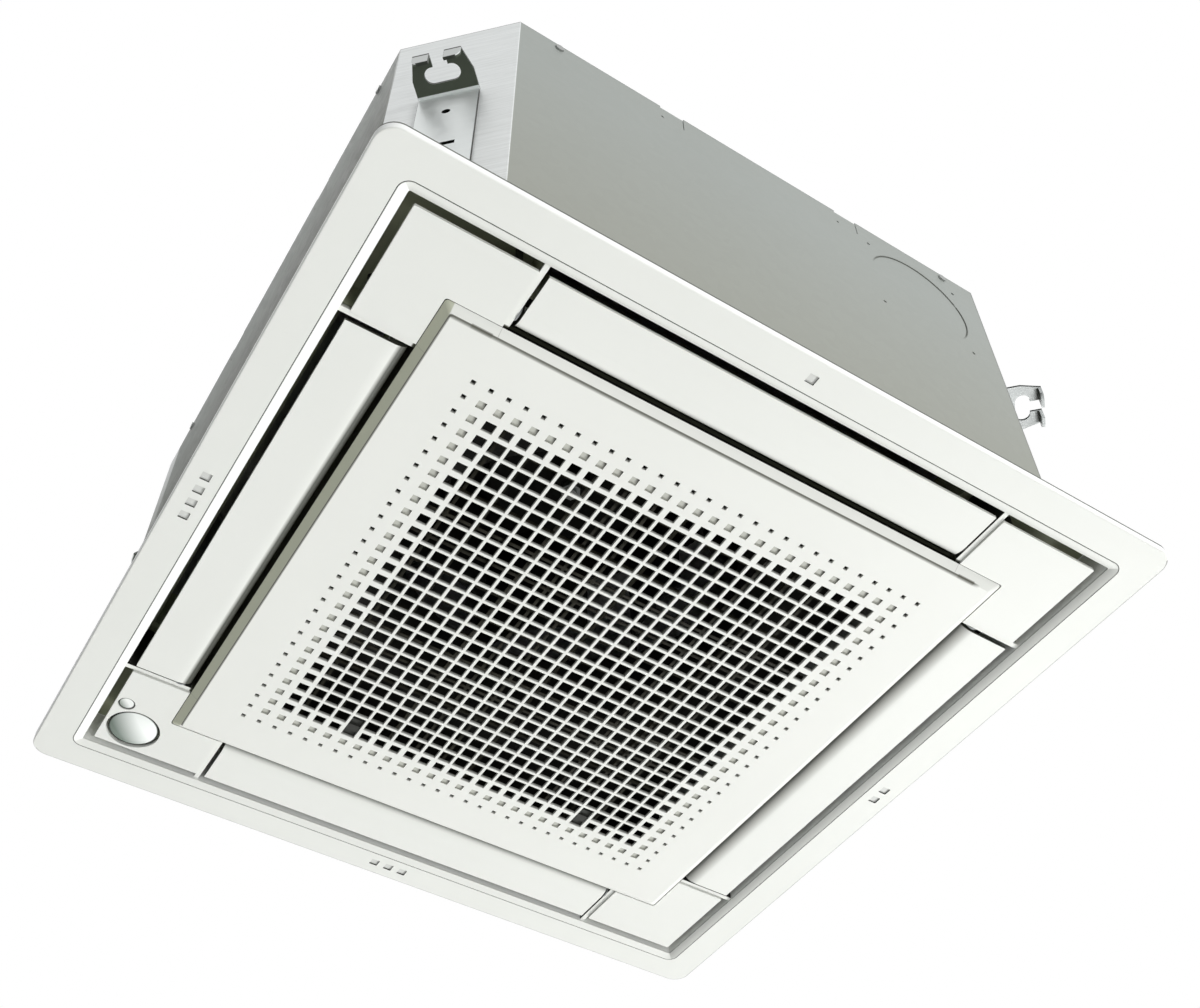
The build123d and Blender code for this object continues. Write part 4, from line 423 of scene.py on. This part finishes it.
# Painted shade: a dark line round the flange's outer edge at the right and rear.
def flange_outline_shade(tree, at):
    far = either_of(tree, on_side(tree, at, "right"), on_side(tree, at, "rear"))
    return both(tree, ramp(tree, flange_out(tree), PANEL_OUT - 1.25, PANEL_OUT - 1.05), far)


def ceiling_gap_shade(tree, at):
    """Painted shade along the flange's upper edge, where it meets the ceiling."""
    edge = ramp(tree, flange_out(tree), PANEL_OUT - 0.4, PANEL_OUT - 0.2)
    return both(tree, edge, ramp(tree, at["Up"], -1.7, -1.3))


# Painted shade on the walls of the square marks.
def mark_wall_shade(tree, at):
    across = band(tree, at["Out"], *MARKS_OUT, 0.3)
    return both(tree, across, band(tree, at["Up"], FLANGE_UP + 0.07, MARK_FLOOR_UP, 0.03))


# Painted shade on the floors of the square marks, a light grey.
def mark_floor_shade(tree, at):
    across = band(tree, at["Out"], *MARKS_OUT, 0.3)
    return both(tree, across, band(tree, at["Up"], MARK_FLOOR_UP, MARK_FLOOR_UP + 0.6, 0.03))


frame_white = plastic("frame_white", WHITE_DARK, WHITE_PALE, rough=0.42)
paint_over(frame_white, right_slope_shade, (0.435, 0.445, 0.420))
paint_over(frame_white, front_slope_shade, (0.45, 0.46, 0.43))
paint_over(frame_white, recess_left_light, (0.92, 0.93, 0.90))
paint_over(frame_white, behind_recess, SHADOW)
paint_over(frame_white, lit_outer_gap, (0.36, 0.38, 0.27))
paint_over(frame_white, lit_walls, (0.97, 0.98, 0.95))
paint_over(frame_white, rib_side_shade, (0.02, 0.021, 0.018))
paint_over(frame_white, recess_step_shade, (0.05, 0.052, 0.045))
paint_over(frame_white, flange_rim_highlight, (0.93, 0.94, 0.92))
paint_over(frame_white, flange_outline_shade, (0.30, 0.31, 0.29))
paint_over(frame_white, ceiling_gap_shade, (0.10, 0.105, 0.095))
paint_over(frame_white, mark_wall_shade, (0.05, 0.052, 0.045))
paint_over(frame_white, mark_floor_shade, (0.67, 0.68, 0.65))
dress(frame_white, "panel_frame")

# ------------------------------------------------------------------ covers and flaps
# Four moulded covers pressed onto the panel's corners, and four flaps with a curled inner edge that
# turn between their motor and a bush. The same plastic as the frame, the flaps' a shade paler; what
# faces the air slots is painted dark as shade.
CORNERS = ("front_left", "front_right", "rear_right", "rear_left")
FLAP_END = 178.5


# Painted shade on the covers above the plates' faces, where they face the air slots.
def cover_shade_above_plates(tree, at):
    return ramp(tree, at["Up"], PLATES_UP + 2.3, PLATES_UP + 2.7)


def flap_edge_shade(tree, at):
    """The flaps' cut ends and the upper part of their curled edge, painted dark as shade."""
    ends = both(
        tree, ramp(tree, from_side_middle(tree, at), FLAP_END, FLAP_END + 0.08),
        ramp(tree, at["Up"], PLATES_UP + 0.1, PLATES_UP + 0.3))
    curl = both(
        tree, ramp(tree, at["Out"], 240.0, 232.0),
        ramp(tree, at["Up"], PLATES_UP + 1.0, PLATES_UP + 4.7))
    # More painted shade on the curl of the left and right flaps.
    left_curl = both(tree, ramp(tree, at["Out"], 234.6, 231.5), on_side(tree, at, "left"), 0.97)
    right_curl = both(tree, ramp(tree, at["Out"], 238.5, 228.0), on_side(tree, at, "right"), 0.75)
    return either_of(tree, ends, curl, left_curl, right_curl)


cover_white = plastic("cover_white", WHITE_DARK, WHITE_PALE, rough=0.40)
paint_over(cover_white, cover_shade_above_plates, (0.03, 0.031, 0.028))
dress(cover_white, *["corner_cover_" + corner for corner in CORNERS])
flap_white = plastic("flap_white", (0.780, 0.790, 0.750), (0.805, 0.815, 0.777), rough=0.40)
paint_over(flap_white, flap_edge_shade, (0.05, 0.052, 0.040))
dress(flap_white, *["flap_" + side for side in SIDES])

# ------------------------------------------------------------------ suction grille
# A thin moulded tray. Painted shade darkens the walls of its square holes towards the filter behind
# them and the floors of the second ring of holes, which is blind, and lies along the fold round the
# face at the front and left.
GRILLE_UP = -9.4
HOLE_PITCH = 13.0
HOLES_OUT = 204.0
BLIND_HOLES_OUT = (164.8, 173.4)
HINGES_OUT = (189.0, 203.0)
ACROSS_X, ACROSS_Y = 11.0, 6.9  # how far one hole's width and depth reach across the view


def in_blind_hole(tree, at):
    return band(tree, at["Out"], *BLIND_HOLES_OUT, 0.1)


# Painted shade down the walls of the open holes, towards the filter.
def hole_wall_shade(tree, at):
    open_hole = both(
        tree, ramp(tree, at["Out"], HOLES_OUT + 2.0, HOLES_OUT),
        less(tree, 1.0, in_blind_hole(tree, at)))
    return both(tree, open_hole, ramp(tree, at["Up"], GRILLE_UP + 0.3, GRILLE_UP + 2.9))


# Painted shade on the floors of the blind holes.
def blind_floor_shade(tree, at):
    above_face = ramp(tree, at["Up"], GRILLE_UP + 0.1, GRILLE_UP + 0.5)
    return both(tree, in_blind_hole(tree, at), above_face)


def blind_ends(tree, at):
    """Both ends of each blind hole's floor are in shade, the right one more."""
    x_turns, y_turns = [
        number(tree, "FRACT", number(tree, "MULTIPLY_ADD", at[axis], 1 / HOLE_PITCH, 100.5))
        for axis in "XY"]
    across = less(tree, both(tree, x_turns, ACROSS_X), both(tree, y_turns, ACROSS_Y))
    from_middle = less(tree, across, (ACROSS_X - ACROSS_Y) / 2)
    right = both(tree, ramp(tree, from_middle, 1.2, 3.4), 0.85)
    left = both(tree, ramp(tree, from_middle, -2.6, -4.0), 0.5)
    return both(tree, blind_floor_shade(tree, at), either_of(tree, right, left))


def front_edge(tree, at):
    return ramp(tree, at["Y"], -216.0, -217.5)


def fold_shade(tree, at):
    """Painted shade: the fold from the face to the sloping edge, a soft dark line at front and
    left.
    """
    front = both(tree, front_edge(tree, at), ramp(tree, at["X"], 209.0, 203.0))
    left = both(tree, ramp(tree, at["X"], -217.0, -217.6), ramp(tree, at["X"], -219.2, -218.5))
    strip = band(tree, at["Up"], GRILLE_UP + 0.04, GRILLE_UP + 0.6, 0.2)
    return both(tree, either_of(tree, front, left), strip, 0.9)


def hinge_shade(tree, at):
    """The front edge in front of the two hinges."""
    strip = band(tree, at["Up"], GRILLE_UP + 0.08, GRILLE_UP + 0.9, 0.3)
    beside = band(tree, size_of(tree, at["X"]), *HINGES_OUT, 0.8)
    return both(tree, front_edge(tree, at), strip, beside, 0.6)


# Painted shade on the grille's sloping edge at the left.
def grille_left_shade(tree, at):
    above_face = ramp(tree, at["Up"], GRILLE_UP + 0.05, GRILLE_UP + 0.6)
    return both(tree, ramp(tree, at["X"], -218.3, -219.0), above_face)


def edge_seams(tree, at):
    """Fine seams across the sloping edge, near its corners."""
    slope = both(
        tree, ramp(tree, at["Out"], 217.8, 218.6),
        ramp(tree, at["Up"], GRILLE_UP + 0.1, GRILLE_UP + 0.4))
    return both(tree, slope, band(tree, from_side_middle(tree, at), 184.9, 185.3, 0.12), 0.35)


grille_white = plastic("grille_white", (0.785, 0.793, 0.752), (0.808, 0.816, 0.776), rough=0.42)
paint_over(grille_white, hole_wall_shade, (0.035, 0.035, 0.024))
paint_over(grille_white, blind_floor_shade, (0.52, 0.525, 0.475))
paint_over(grille_white, blind_ends, (0.06, 0.06, 0.05))
paint_over(grille_white, fold_shade, (0.08, 0.08, 0.06))
paint_over(grille_white, hinge_shade, (0.09, 0.087, 0.065))
paint_over(grille_white, grille_left_shade, (0.500, 0.515, 0.410))
paint_over(grille_white, edge_seams, (0.25, 0.25, 0.22))
dress(grille_white, "suction_grille")
latch_dark = plastic("latch_dark", (0.035, 0.036, 0.032), (0.050, 0.051, 0.046), rough=0.5)
dress(latch_dark, "latch_left", "latch_right")

# ------------------------------------------------------------------ filter
# A moulded frame with a woven plastic net, both dark, clipped on top of the grille. It shows only
# through the holes, and from above once the grille hangs open.
filter_dark = plastic(
    "filter_dark", (0.016, 0.015, 0.010), (0.040, 0.038, 0.027), rough=0.6, cloud_scale=60.0)
dress(filter_dark, "filter_frame", "filter_net")

# ------------------------------------------------------------------ body sheet
# Galvanised steel. The four side sheets are dull, with a faint zinc spangle, the left one in
# painted shade; the corner sheets carry level brush streaks under a painted sheen. A half-sheared
# ring marks the air duct knock-out, its upper part painted dark as shade.
SIDE_OUT = 287.5
BODY_TOP = 303.0
CORNER_FACE = 507.9  # |x| + |y| just inside the corner sheets' faces
HANGER_HOLE_UP = 166.0
DUCT_X, DUCT_UP = 150.0, 234.0
DUCT_RING = (47.3, 48.5)
BRIDGE_TURN = 0.50  # where the ring is left unsheared, in radians from level


def zinc_group():
    """Crystals of zinc and level brush streaks, from the piece's own coordinates."""
    group, given, result = new_group(
        "zinc_sheet", [("Crystal Scale", 130.0), ("Streak Scale", 700.0)], ["Crystals", "Streaks"])
    place = tree_node(group, "ShaderNodeTexCoord")
    warp = tree_node(group, "ShaderNodeTexNoise", Scale=40.0, Detail=2.0)
    shove = tree_node(group, "ShaderNodeVectorMath", operation="MULTIPLY_ADD")
    shove.inputs[1].default_value = (0.02, 0.02, 0.02)
    crystals = tree_node(group, "ShaderNodeTexVoronoi", feature="F1")
    split = tree_node(group, "ShaderNodeSeparateColor")
    group.links.new(place.outputs["Object"], warp.inputs["Vector"])
    group.links.new(warp.outputs["Color"], shove.inputs[0])
    group.links.new(place.outputs["Object"], shove.inputs[2])
    group.links.new(shove.outputs["Vector"], crystals.inputs["Vector"])
    group.links.new(given.outputs["Crystal Scale"], crystals.inputs["Scale"])
    group.links.new(crystals.outputs["Color"], split.inputs["Color"])
    group.links.new(split.outputs["Red"], result.inputs["Crystals"])
    stretch = tree_node(group, "ShaderNodeVectorMath", operation="MULTIPLY")
    stretch.inputs[1].default_value = (0.03, 0.03, 1.0)
    streaks = tree_node(group, "ShaderNodeTexNoise", Detail=4.0, Roughness=0.7)
    group.links.new(place.outputs["Object"], stretch.inputs[0])
    group.links.new(stretch.outputs["Vector"], streaks.inputs["Vector"])
    group.links.new(given.outputs["Streak Scale"], streaks.inputs["Scale"])
    group.links.new(streaks.outputs["Fac"], result.inputs["Streaks"])
    return group


ZINC_SHEET = zinc_group()


def zinc_steel(name, dark, pale, streaks, rough, metal, specular=0.5):
    """Zinc-coated steel: crystals, and streaks by their share, in soft clouds."""
    made, tree, shader = new_material(name)
    zinc = place_group(tree, ZINC_SHEET)
    grain = place_group(tree, FINE_GRAIN, Cloud_Scale=5.0, Grain_Scale=1500.0)
    crystals = zinc.outputs["Crystals"]
    blend = tree_node(tree, "ShaderNodeMix", data_type="FLOAT", Factor=streaks)
    tree.links.new(spread(tree, crystals, 0.40, 0.60), blend.inputs[2])
    tree.links.new(zinc.outputs["Streaks"], blend.inputs[3])
    cloudy = spread(tree, grain.outputs["Cloud"], 0.0, 0.4)
    total = number(tree, "ADD", both(tree, blend.outputs[0], 0.6), cloudy)
    tree.links.new(mix_colours(tree, total, dark, pale), shader.inputs["Base Color"])
    tree.links.new(spread(tree, crystals, rough - 0.05, rough + 0.05), shader.inputs["Roughness"])
    shader.inputs["Metallic"].default_value = metal
    shader.inputs["Specular IOR Level"].default_value = specular
    add_bump(tree, shader, grain.outputs["Height"], 0.00004)
    return made


def shine_over(material, mask_of, metal):
    """Changes how metallic the surface is where the mask is 1."""
    tree = material.node_tree
    metallic = tree.nodes["Principled BSDF"].inputs["Metallic"]
    mask = mask_of(tree, place_group(tree, SQUARE_PLACE).outputs)
    tree.links.new(spread(tree, mask, metallic.default_value, metal), metallic)


def on_corner_face(tree, at):
    return ramp(tree, at["Diagonal"], CORNER_FACE, CORNER_FACE + 0.4)


# Painted sheen on the corner sheets, following their brush streaks; they turn more metallic there
# too.
def corner_sheet_sheen(tree, at):
    streaks = place_group(tree, ZINC_SHEET).outputs["Streaks"]
    return both(tree, on_corner_face(tree, at), spread(tree, streaks, 0.45, 1.0))


def lower_tone(tree, at):
    return both(tree, ramp(tree, at["Up"], 250.0, 40.0), 0.8)


# Painted shade on the left side sheet, deepening downwards.
def left_sheet_shade(tree, at):
    outer = ramp(tree, at["X"], 0.6 - SIDE_OUT, 0.3 - SIDE_OUT)
    return both(tree, outer, ramp(tree, at["Up"], 330.0, 165.0))


def corner_along(tree, at):
    """Distance from the middle of the corner face, level along it."""
    across = less(tree, size_of(tree, at["X"]), size_of(tree, at["Y"]))
    return size_of(tree, both(tree, across, 0.7071))


def hole_and_slot(tree, at, hole_edge, slot_edge, slot_band):
    """The hanger plates' round hole and tab slot, as distances from their middles."""
    along = corner_along(tree, at)
    hole = distance(tree, along, less(tree, at["Up"], HANGER_HOLE_UP))
    slot = both(tree, ramp(tree, along, *slot_edge), band(tree, at["Up"], *slot_band))
    return either_of(tree, ramp(tree, hole, *hole_edge), slot)


def bracket_hole_shade(tree, at):
    """The body behind the hanger plates' holes, painted black as shade."""
    openings = hole_and_slot(tree, at, (3.2, 3.0), (9.7, 9.5), (113.6, 118.4, 0.2))
    return both(tree, on_corner_face(tree, at), openings)


def duct_ring_shade(tree, at):
    """The knock-out's sheared ring, painted dark as shade in its upper part, bar one bridge."""
    x = less(tree, at["X"], DUCT_X)
    up = less(tree, at["Up"], DUCT_UP)
    front = ramp(tree, at["Y"], 1.1 - SIDE_OUT, 0.9 - SIDE_OUT)
    ring = band(tree, distance(tree, x, up), *DUCT_RING, 0.3)
    upper = ramp(tree, number(tree, "ADD", up, both(tree, x, 0.55)), -8.0, 6.0)
    to_bridge = size_of(tree, less(tree, number(tree, "ARCTAN2", up, x), BRIDGE_TURN))
    return both(tree, front, ring, upper, ramp(tree, to_bridge, 0.025, 0.045), 0.8)


def sheet_edge_shade(tree, at):
    """Painted shade on the upper hem, and on the bend beside the front right corner sheet."""
    hem = ramp(tree, at["Up"], BODY_TOP - 0.9, BODY_TOP - 0.6)
    outer = ramp(tree, at["Y"], 0.5 - SIDE_OUT, 0.3 - SIDE_OUT)
    bend = both(tree, band(tree, at["X"], 220.3, 221.2, 0.2), outer)
    return both(tree, either_of(tree, hem, bend), 0.7)


body_zinc = zinc_steel(
    "body_zinc", (0.30, 0.32, 0.30), (0.37, 0.39, 0.37), streaks=0.35, rough=0.5, metal=0.12,
    specular=0.15)
paint_over(body_zinc, lower_tone, (0.310, 0.315, 0.275))
paint_over(body_zinc, corner_sheet_sheen, (0.94, 0.96, 0.96))
paint_over(body_zinc, left_sheet_shade, (0.115, 0.125, 0.103))
paint_over(body_zinc, bracket_hole_shade, (0.01, 0.01, 0.01))
paint_over(body_zinc, duct_ring_shade, (0.12, 0.125, 0.11))
paint_over(body_zinc, sheet_edge_shade, (0.08, 0.085, 0.075))
shine_over(body_zinc, corner_sheet_sheen, 0.75)
dress(body_zinc, "cabinet_shell")
lid_zinc = zinc_steel(
    "lid_zinc", (0.33, 0.35, 0.33), (0.43, 0.45, 0.43), streaks=0.35, rough=0.45, metal=0.4)
dress(lid_zinc, "cabinet_lid", "pipe_plate", "control_box", "control_box_lid", "coil_end_plates")

# ------------------------------------------------------------------ hanger brackets
# Thick zinc-plated plates, spot-welded to the corner sheets, each with an ear that stands out
# level.
# Painted shade darkens the ears, the left ones most, and draws holes and cut edges as dark lines.
EAR_UNDER = 194.15
EAR_LOW = 182.0
MOUTH_HALF = 5.5  # half the open end of an ear's hole
LIP_INNER = 550.0  # |x| + |y| on the lips' inner faces
PLATE_HALF = 21.8


def left_half(tree, at):
    return ramp(tree, at["X"], 5.0, -5.0)


def right_half(tree, at):
    return ramp(tree, at["X"], -5.0, 5.0)


def below_ear(tree, at):
    """Everything from the lips' lower edges to the ears' undersides."""
    return both(
        tree, ramp(tree, at["Up"], EAR_UNDER + 0.2, EAR_UNDER),
        ramp(tree, at["Up"], EAR_LOW, EAR_LOW + 0.5))


# Painted shade on the left ears' undersides.
def left_ear_shade(tree, at):
    out = band(tree, at["Diagonal"], 514.5, 553.2, 0.5)
    return both(tree, below_ear(tree, at), left_half(tree, at), out)


# Painted shade on the right ears, a mid grey; they are made not metallic there too.
def right_ear_shade(tree, at):
    out = ramp(tree, at["Diagonal"], 514.0, 514.6)
    return both(tree, below_ear(tree, at), right_half(tree, at), out)


def in_mouth(tree, along):
    return ramp(tree, along, MOUTH_HALF + 0.1, MOUTH_HALF - 0.05)


def lip_folds(tree, at):
    """Right ears: the lips' inner faces and the ear beside them are in deep shade."""
    along = corner_along(tree, at)
    side = either_of(tree, ramp(tree, along, 16.9, 17.1), in_mouth(tree, along))
    inner = both(
        tree, band(tree, at["Diagonal"], LIP_INNER, LIP_INNER + 1.4, 4.5),
        ramp(tree, at["Up"], EAR_LOW + 2.0, EAR_LOW + 5.0))
    return both(tree, inner, less(tree, 1.0, side), right_half(tree, at))


def left_lip_shade(tree, at):
    """Left ears: the lips' lower edges and the ends beside the mouth are painted dark as shade."""
    lip = both(
        tree, ramp(tree, at["Diagonal"], LIP_INNER - 0.2, LIP_INNER + 0.2),
        ramp(tree, at["Up"], EAR_UNDER + 0.15, EAR_UNDER - 0.05))
    mouth = in_mouth(tree, corner_along(tree, at))
    low_edge = ramp(tree, at["Up"], EAR_LOW + 1.6, EAR_LOW + 1.45)
    return both(tree, lip, either_of(tree, mouth, low_edge), left_half(tree, at))


# Painted shade on the outer faces of the left ears' lips.
def lip_face_shade(tree, at):
    outer = ramp(tree, at["Diagonal"], LIP_INNER + 4.0, LIP_INNER + 4.4)
    return both(tree, outer, left_half(tree, at))


def plate_edge_shade(tree, at):
    """Cut edges: the plates' sides, holes and slots, and the edge round each ear, painted dark as
    shade.
    """
    side = ramp(tree, corner_along(tree, at), PLATE_HALF, PLATE_HALF + 0.1)
    openings = hole_and_slot(tree, at, (3.2, 3.05), (9.65, 9.55), (113.7, 118.3, 0.1))
    on_plate = both(
        tree, ramp(tree, at["Up"], EAR_UNDER - 1.15, EAR_UNDER - 2.15),
        ramp(tree, at["Diagonal"], 512.5, 512.2))
    ear_edge = band(tree, at["Up"], EAR_UNDER + 0.3, EAR_UNDER + 1.85, 0.1)
    return either_of(tree, both(tree, on_plate, either_of(tree, side, openings)), ear_edge)


bracket_zinc = zinc_steel(
    "bracket_zinc", (0.74, 0.77, 0.76), (0.88, 0.91, 0.90), streaks=0.7, rough=0.4, metal=0.6,
    specular=0.15)
paint_over(bracket_zinc, left_ear_shade, (0.085, 0.098, 0.075))
paint_over(bracket_zinc, right_ear_shade, (0.45, 0.465, 0.46))
paint_over(bracket_zinc, lip_folds, (0.03, 0.032, 0.028))
paint_over(bracket_zinc, lip_face_shade, (0.56, 0.58, 0.57))
paint_over(bracket_zinc, left_lip_shade, (0.06, 0.066, 0.055))
paint_over(bracket_zinc, plate_edge_shade, (0.015, 0.016, 0.014))
shine_over(bracket_zinc, right_ear_shade, 0.0)
dress(bracket_zinc, *["hanger_bracket_" + corner for corner in CORNERS])
screw_zinc = zinc_steel(
    "screw_zinc", (0.30, 0.31, 0.30), (0.42, 0.43, 0.42), streaks=0.3, rough=0.35, metal=0.9)
dress(screw_zinc, "lid_screws", "panel_screws", "motor_shaft", "fan_nut", "hinge_pins")

# ------------------------------------------------------------------ foam, rubber and inner parts
# Polystyrene drain pan and linings, black seals and bushes, the dark fan and its bell mouth, and
# the coil's fins, pipes and unions; they show only through the openings and from behind.
bead_foam = plastic(
    "bead_foam", (0.62, 0.62, 0.60), (0.76, 0.76, 0.74), rough=0.85,
    grain_scale=260.0, depth=0.0004, cloud_scale=40.0)
dress(bead_foam, "side_insulation", "top_insulation")
dark_foam = plastic(
    "dark_foam", (0.46, 0.49, 0.35), (0.54, 0.57, 0.42), rough=0.95,
    grain_scale=260.0, depth=0.0004, cloud_scale=40.0)
dress(dark_foam, "drain_pan")
black_foam = plastic(
    "black_foam", (0.012, 0.012, 0.012), (0.03, 0.03, 0.03), rough=0.95,
    grain_scale=700.0, depth=0.0003, cloud_scale=60.0)
dress(black_foam, "panel_seal")
black_rubber = plastic("black_rubber", (0.012, 0.012, 0.012), (0.025, 0.025, 0.025), rough=0.7)
dress(black_rubber, "drain_plug", "cable_grommet", "motor_bushes")
grey_plastic = plastic("grey_plastic", (0.24, 0.25, 0.25), (0.30, 0.31, 0.31), rough=0.5)
dress(grey_plastic, "drain_pump", "pump_impeller", "float_ring", "drain_socket", "sensor_housing",
      "flap_bushes", "terminal_block", "drain_hose")
motor_white = plastic("motor_white", (0.40, 0.40, 0.38), (0.46, 0.46, 0.44), rough=0.45)
dress(motor_white, *["flap_motor_" + side for side in SIDES])
dark_plastic = plastic("dark_plastic", (0.012, 0.012, 0.010), (0.022, 0.022, 0.019), rough=0.6)
dress(dark_plastic, "turbo_fan", "bell_mouth", "fan_motor")
board_green = plastic("board_green", (0.02, 0.12, 0.05), (0.03, 0.17, 0.07), rough=0.4)
dress(board_green, "circuit_board")
fin_metal = zinc_steel(
    "fin_metal", (0.55, 0.56, 0.57), (0.75, 0.76, 0.77), streaks=0.6, rough=0.4, metal=0.9)
dress(fin_metal, "heat_exchanger")
copper = zinc_steel(
    "copper", (0.55, 0.27, 0.16), (0.72, 0.40, 0.26), streaks=0.4, rough=0.32, metal=1.0)
dress(copper, "coil_bends", "gas_pipe", "liquid_pipe")
brass = zinc_steel(
    "brass", (0.60, 0.44, 0.18), (0.78, 0.60, 0.30), streaks=0.4, rough=0.3, metal=1.0)
dress(brass, "flare_unions")

# ------------------------------------------------------------------ sensors
# A pale domed lens over the presence sensor, with painted shade towards its left and a rim painted
# dark as shade in the gap round it; and the small pale button of the floor temperature sensor,
# painted the same way. Both sit in holes of the rear left cover.
LENS_X, LENS_Y = -247.3, 247.5
BUTTON_X, BUTTON_Y = -262.0, 222.0
BUTTON_R = 5.7


# Painted shade towards the lens's left.
def lens_side_shade(tree, at):
    x = both(tree, less(tree, at["X"], LENS_X), 0.71)
    y = both(tree, less(tree, at["Y"], LENS_Y), 0.70)
    return ramp(tree, less(tree, x, y), 8.0, -13.0)


# Painted shade on the lens's rim, in the gap round it.
def lens_rim_shade(tree, at):
    return ramp(tree, at["Up"], PLATES_UP + 1.2, PLATES_UP + 1.5)


# Painted shade on the button's rim.
def button_rim_shade(tree, at):
    out = distance(tree, less(tree, at["X"], BUTTON_X), less(tree, at["Y"], BUTTON_Y))
    return ramp(tree, out, BUTTON_R - 0.7, BUTTON_R)


# Painted shade towards the button's left.
def button_side_shade(tree, at):
    x, y = less(tree, at["X"], BUTTON_X), less(tree, at["Y"], BUTTON_Y)
    return ramp(tree, less(tree, x, y), 2.0, -6.0)


lens_white = plastic("lens_white", (0.90, 0.93, 0.90), (0.93, 0.96, 0.93), rough=0.25)
paint_over(lens_white, lens_side_shade, (0.20, 0.245, 0.21))
paint_over(lens_white, lens_rim_shade, (0.02, 0.022, 0.018))
dress(lens_white, "sensor_lens")
button_white = plastic("button_white", (0.90, 0.92, 0.89), (0.93, 0.95, 0.92), rough=0.35)
paint_over(button_white, button_side_shade, (0.35, 0.39, 0.35))
paint_over(button_white, button_rim_shade, (0.02, 0.022, 0.02))
dress(button_white, "floor_sensor")
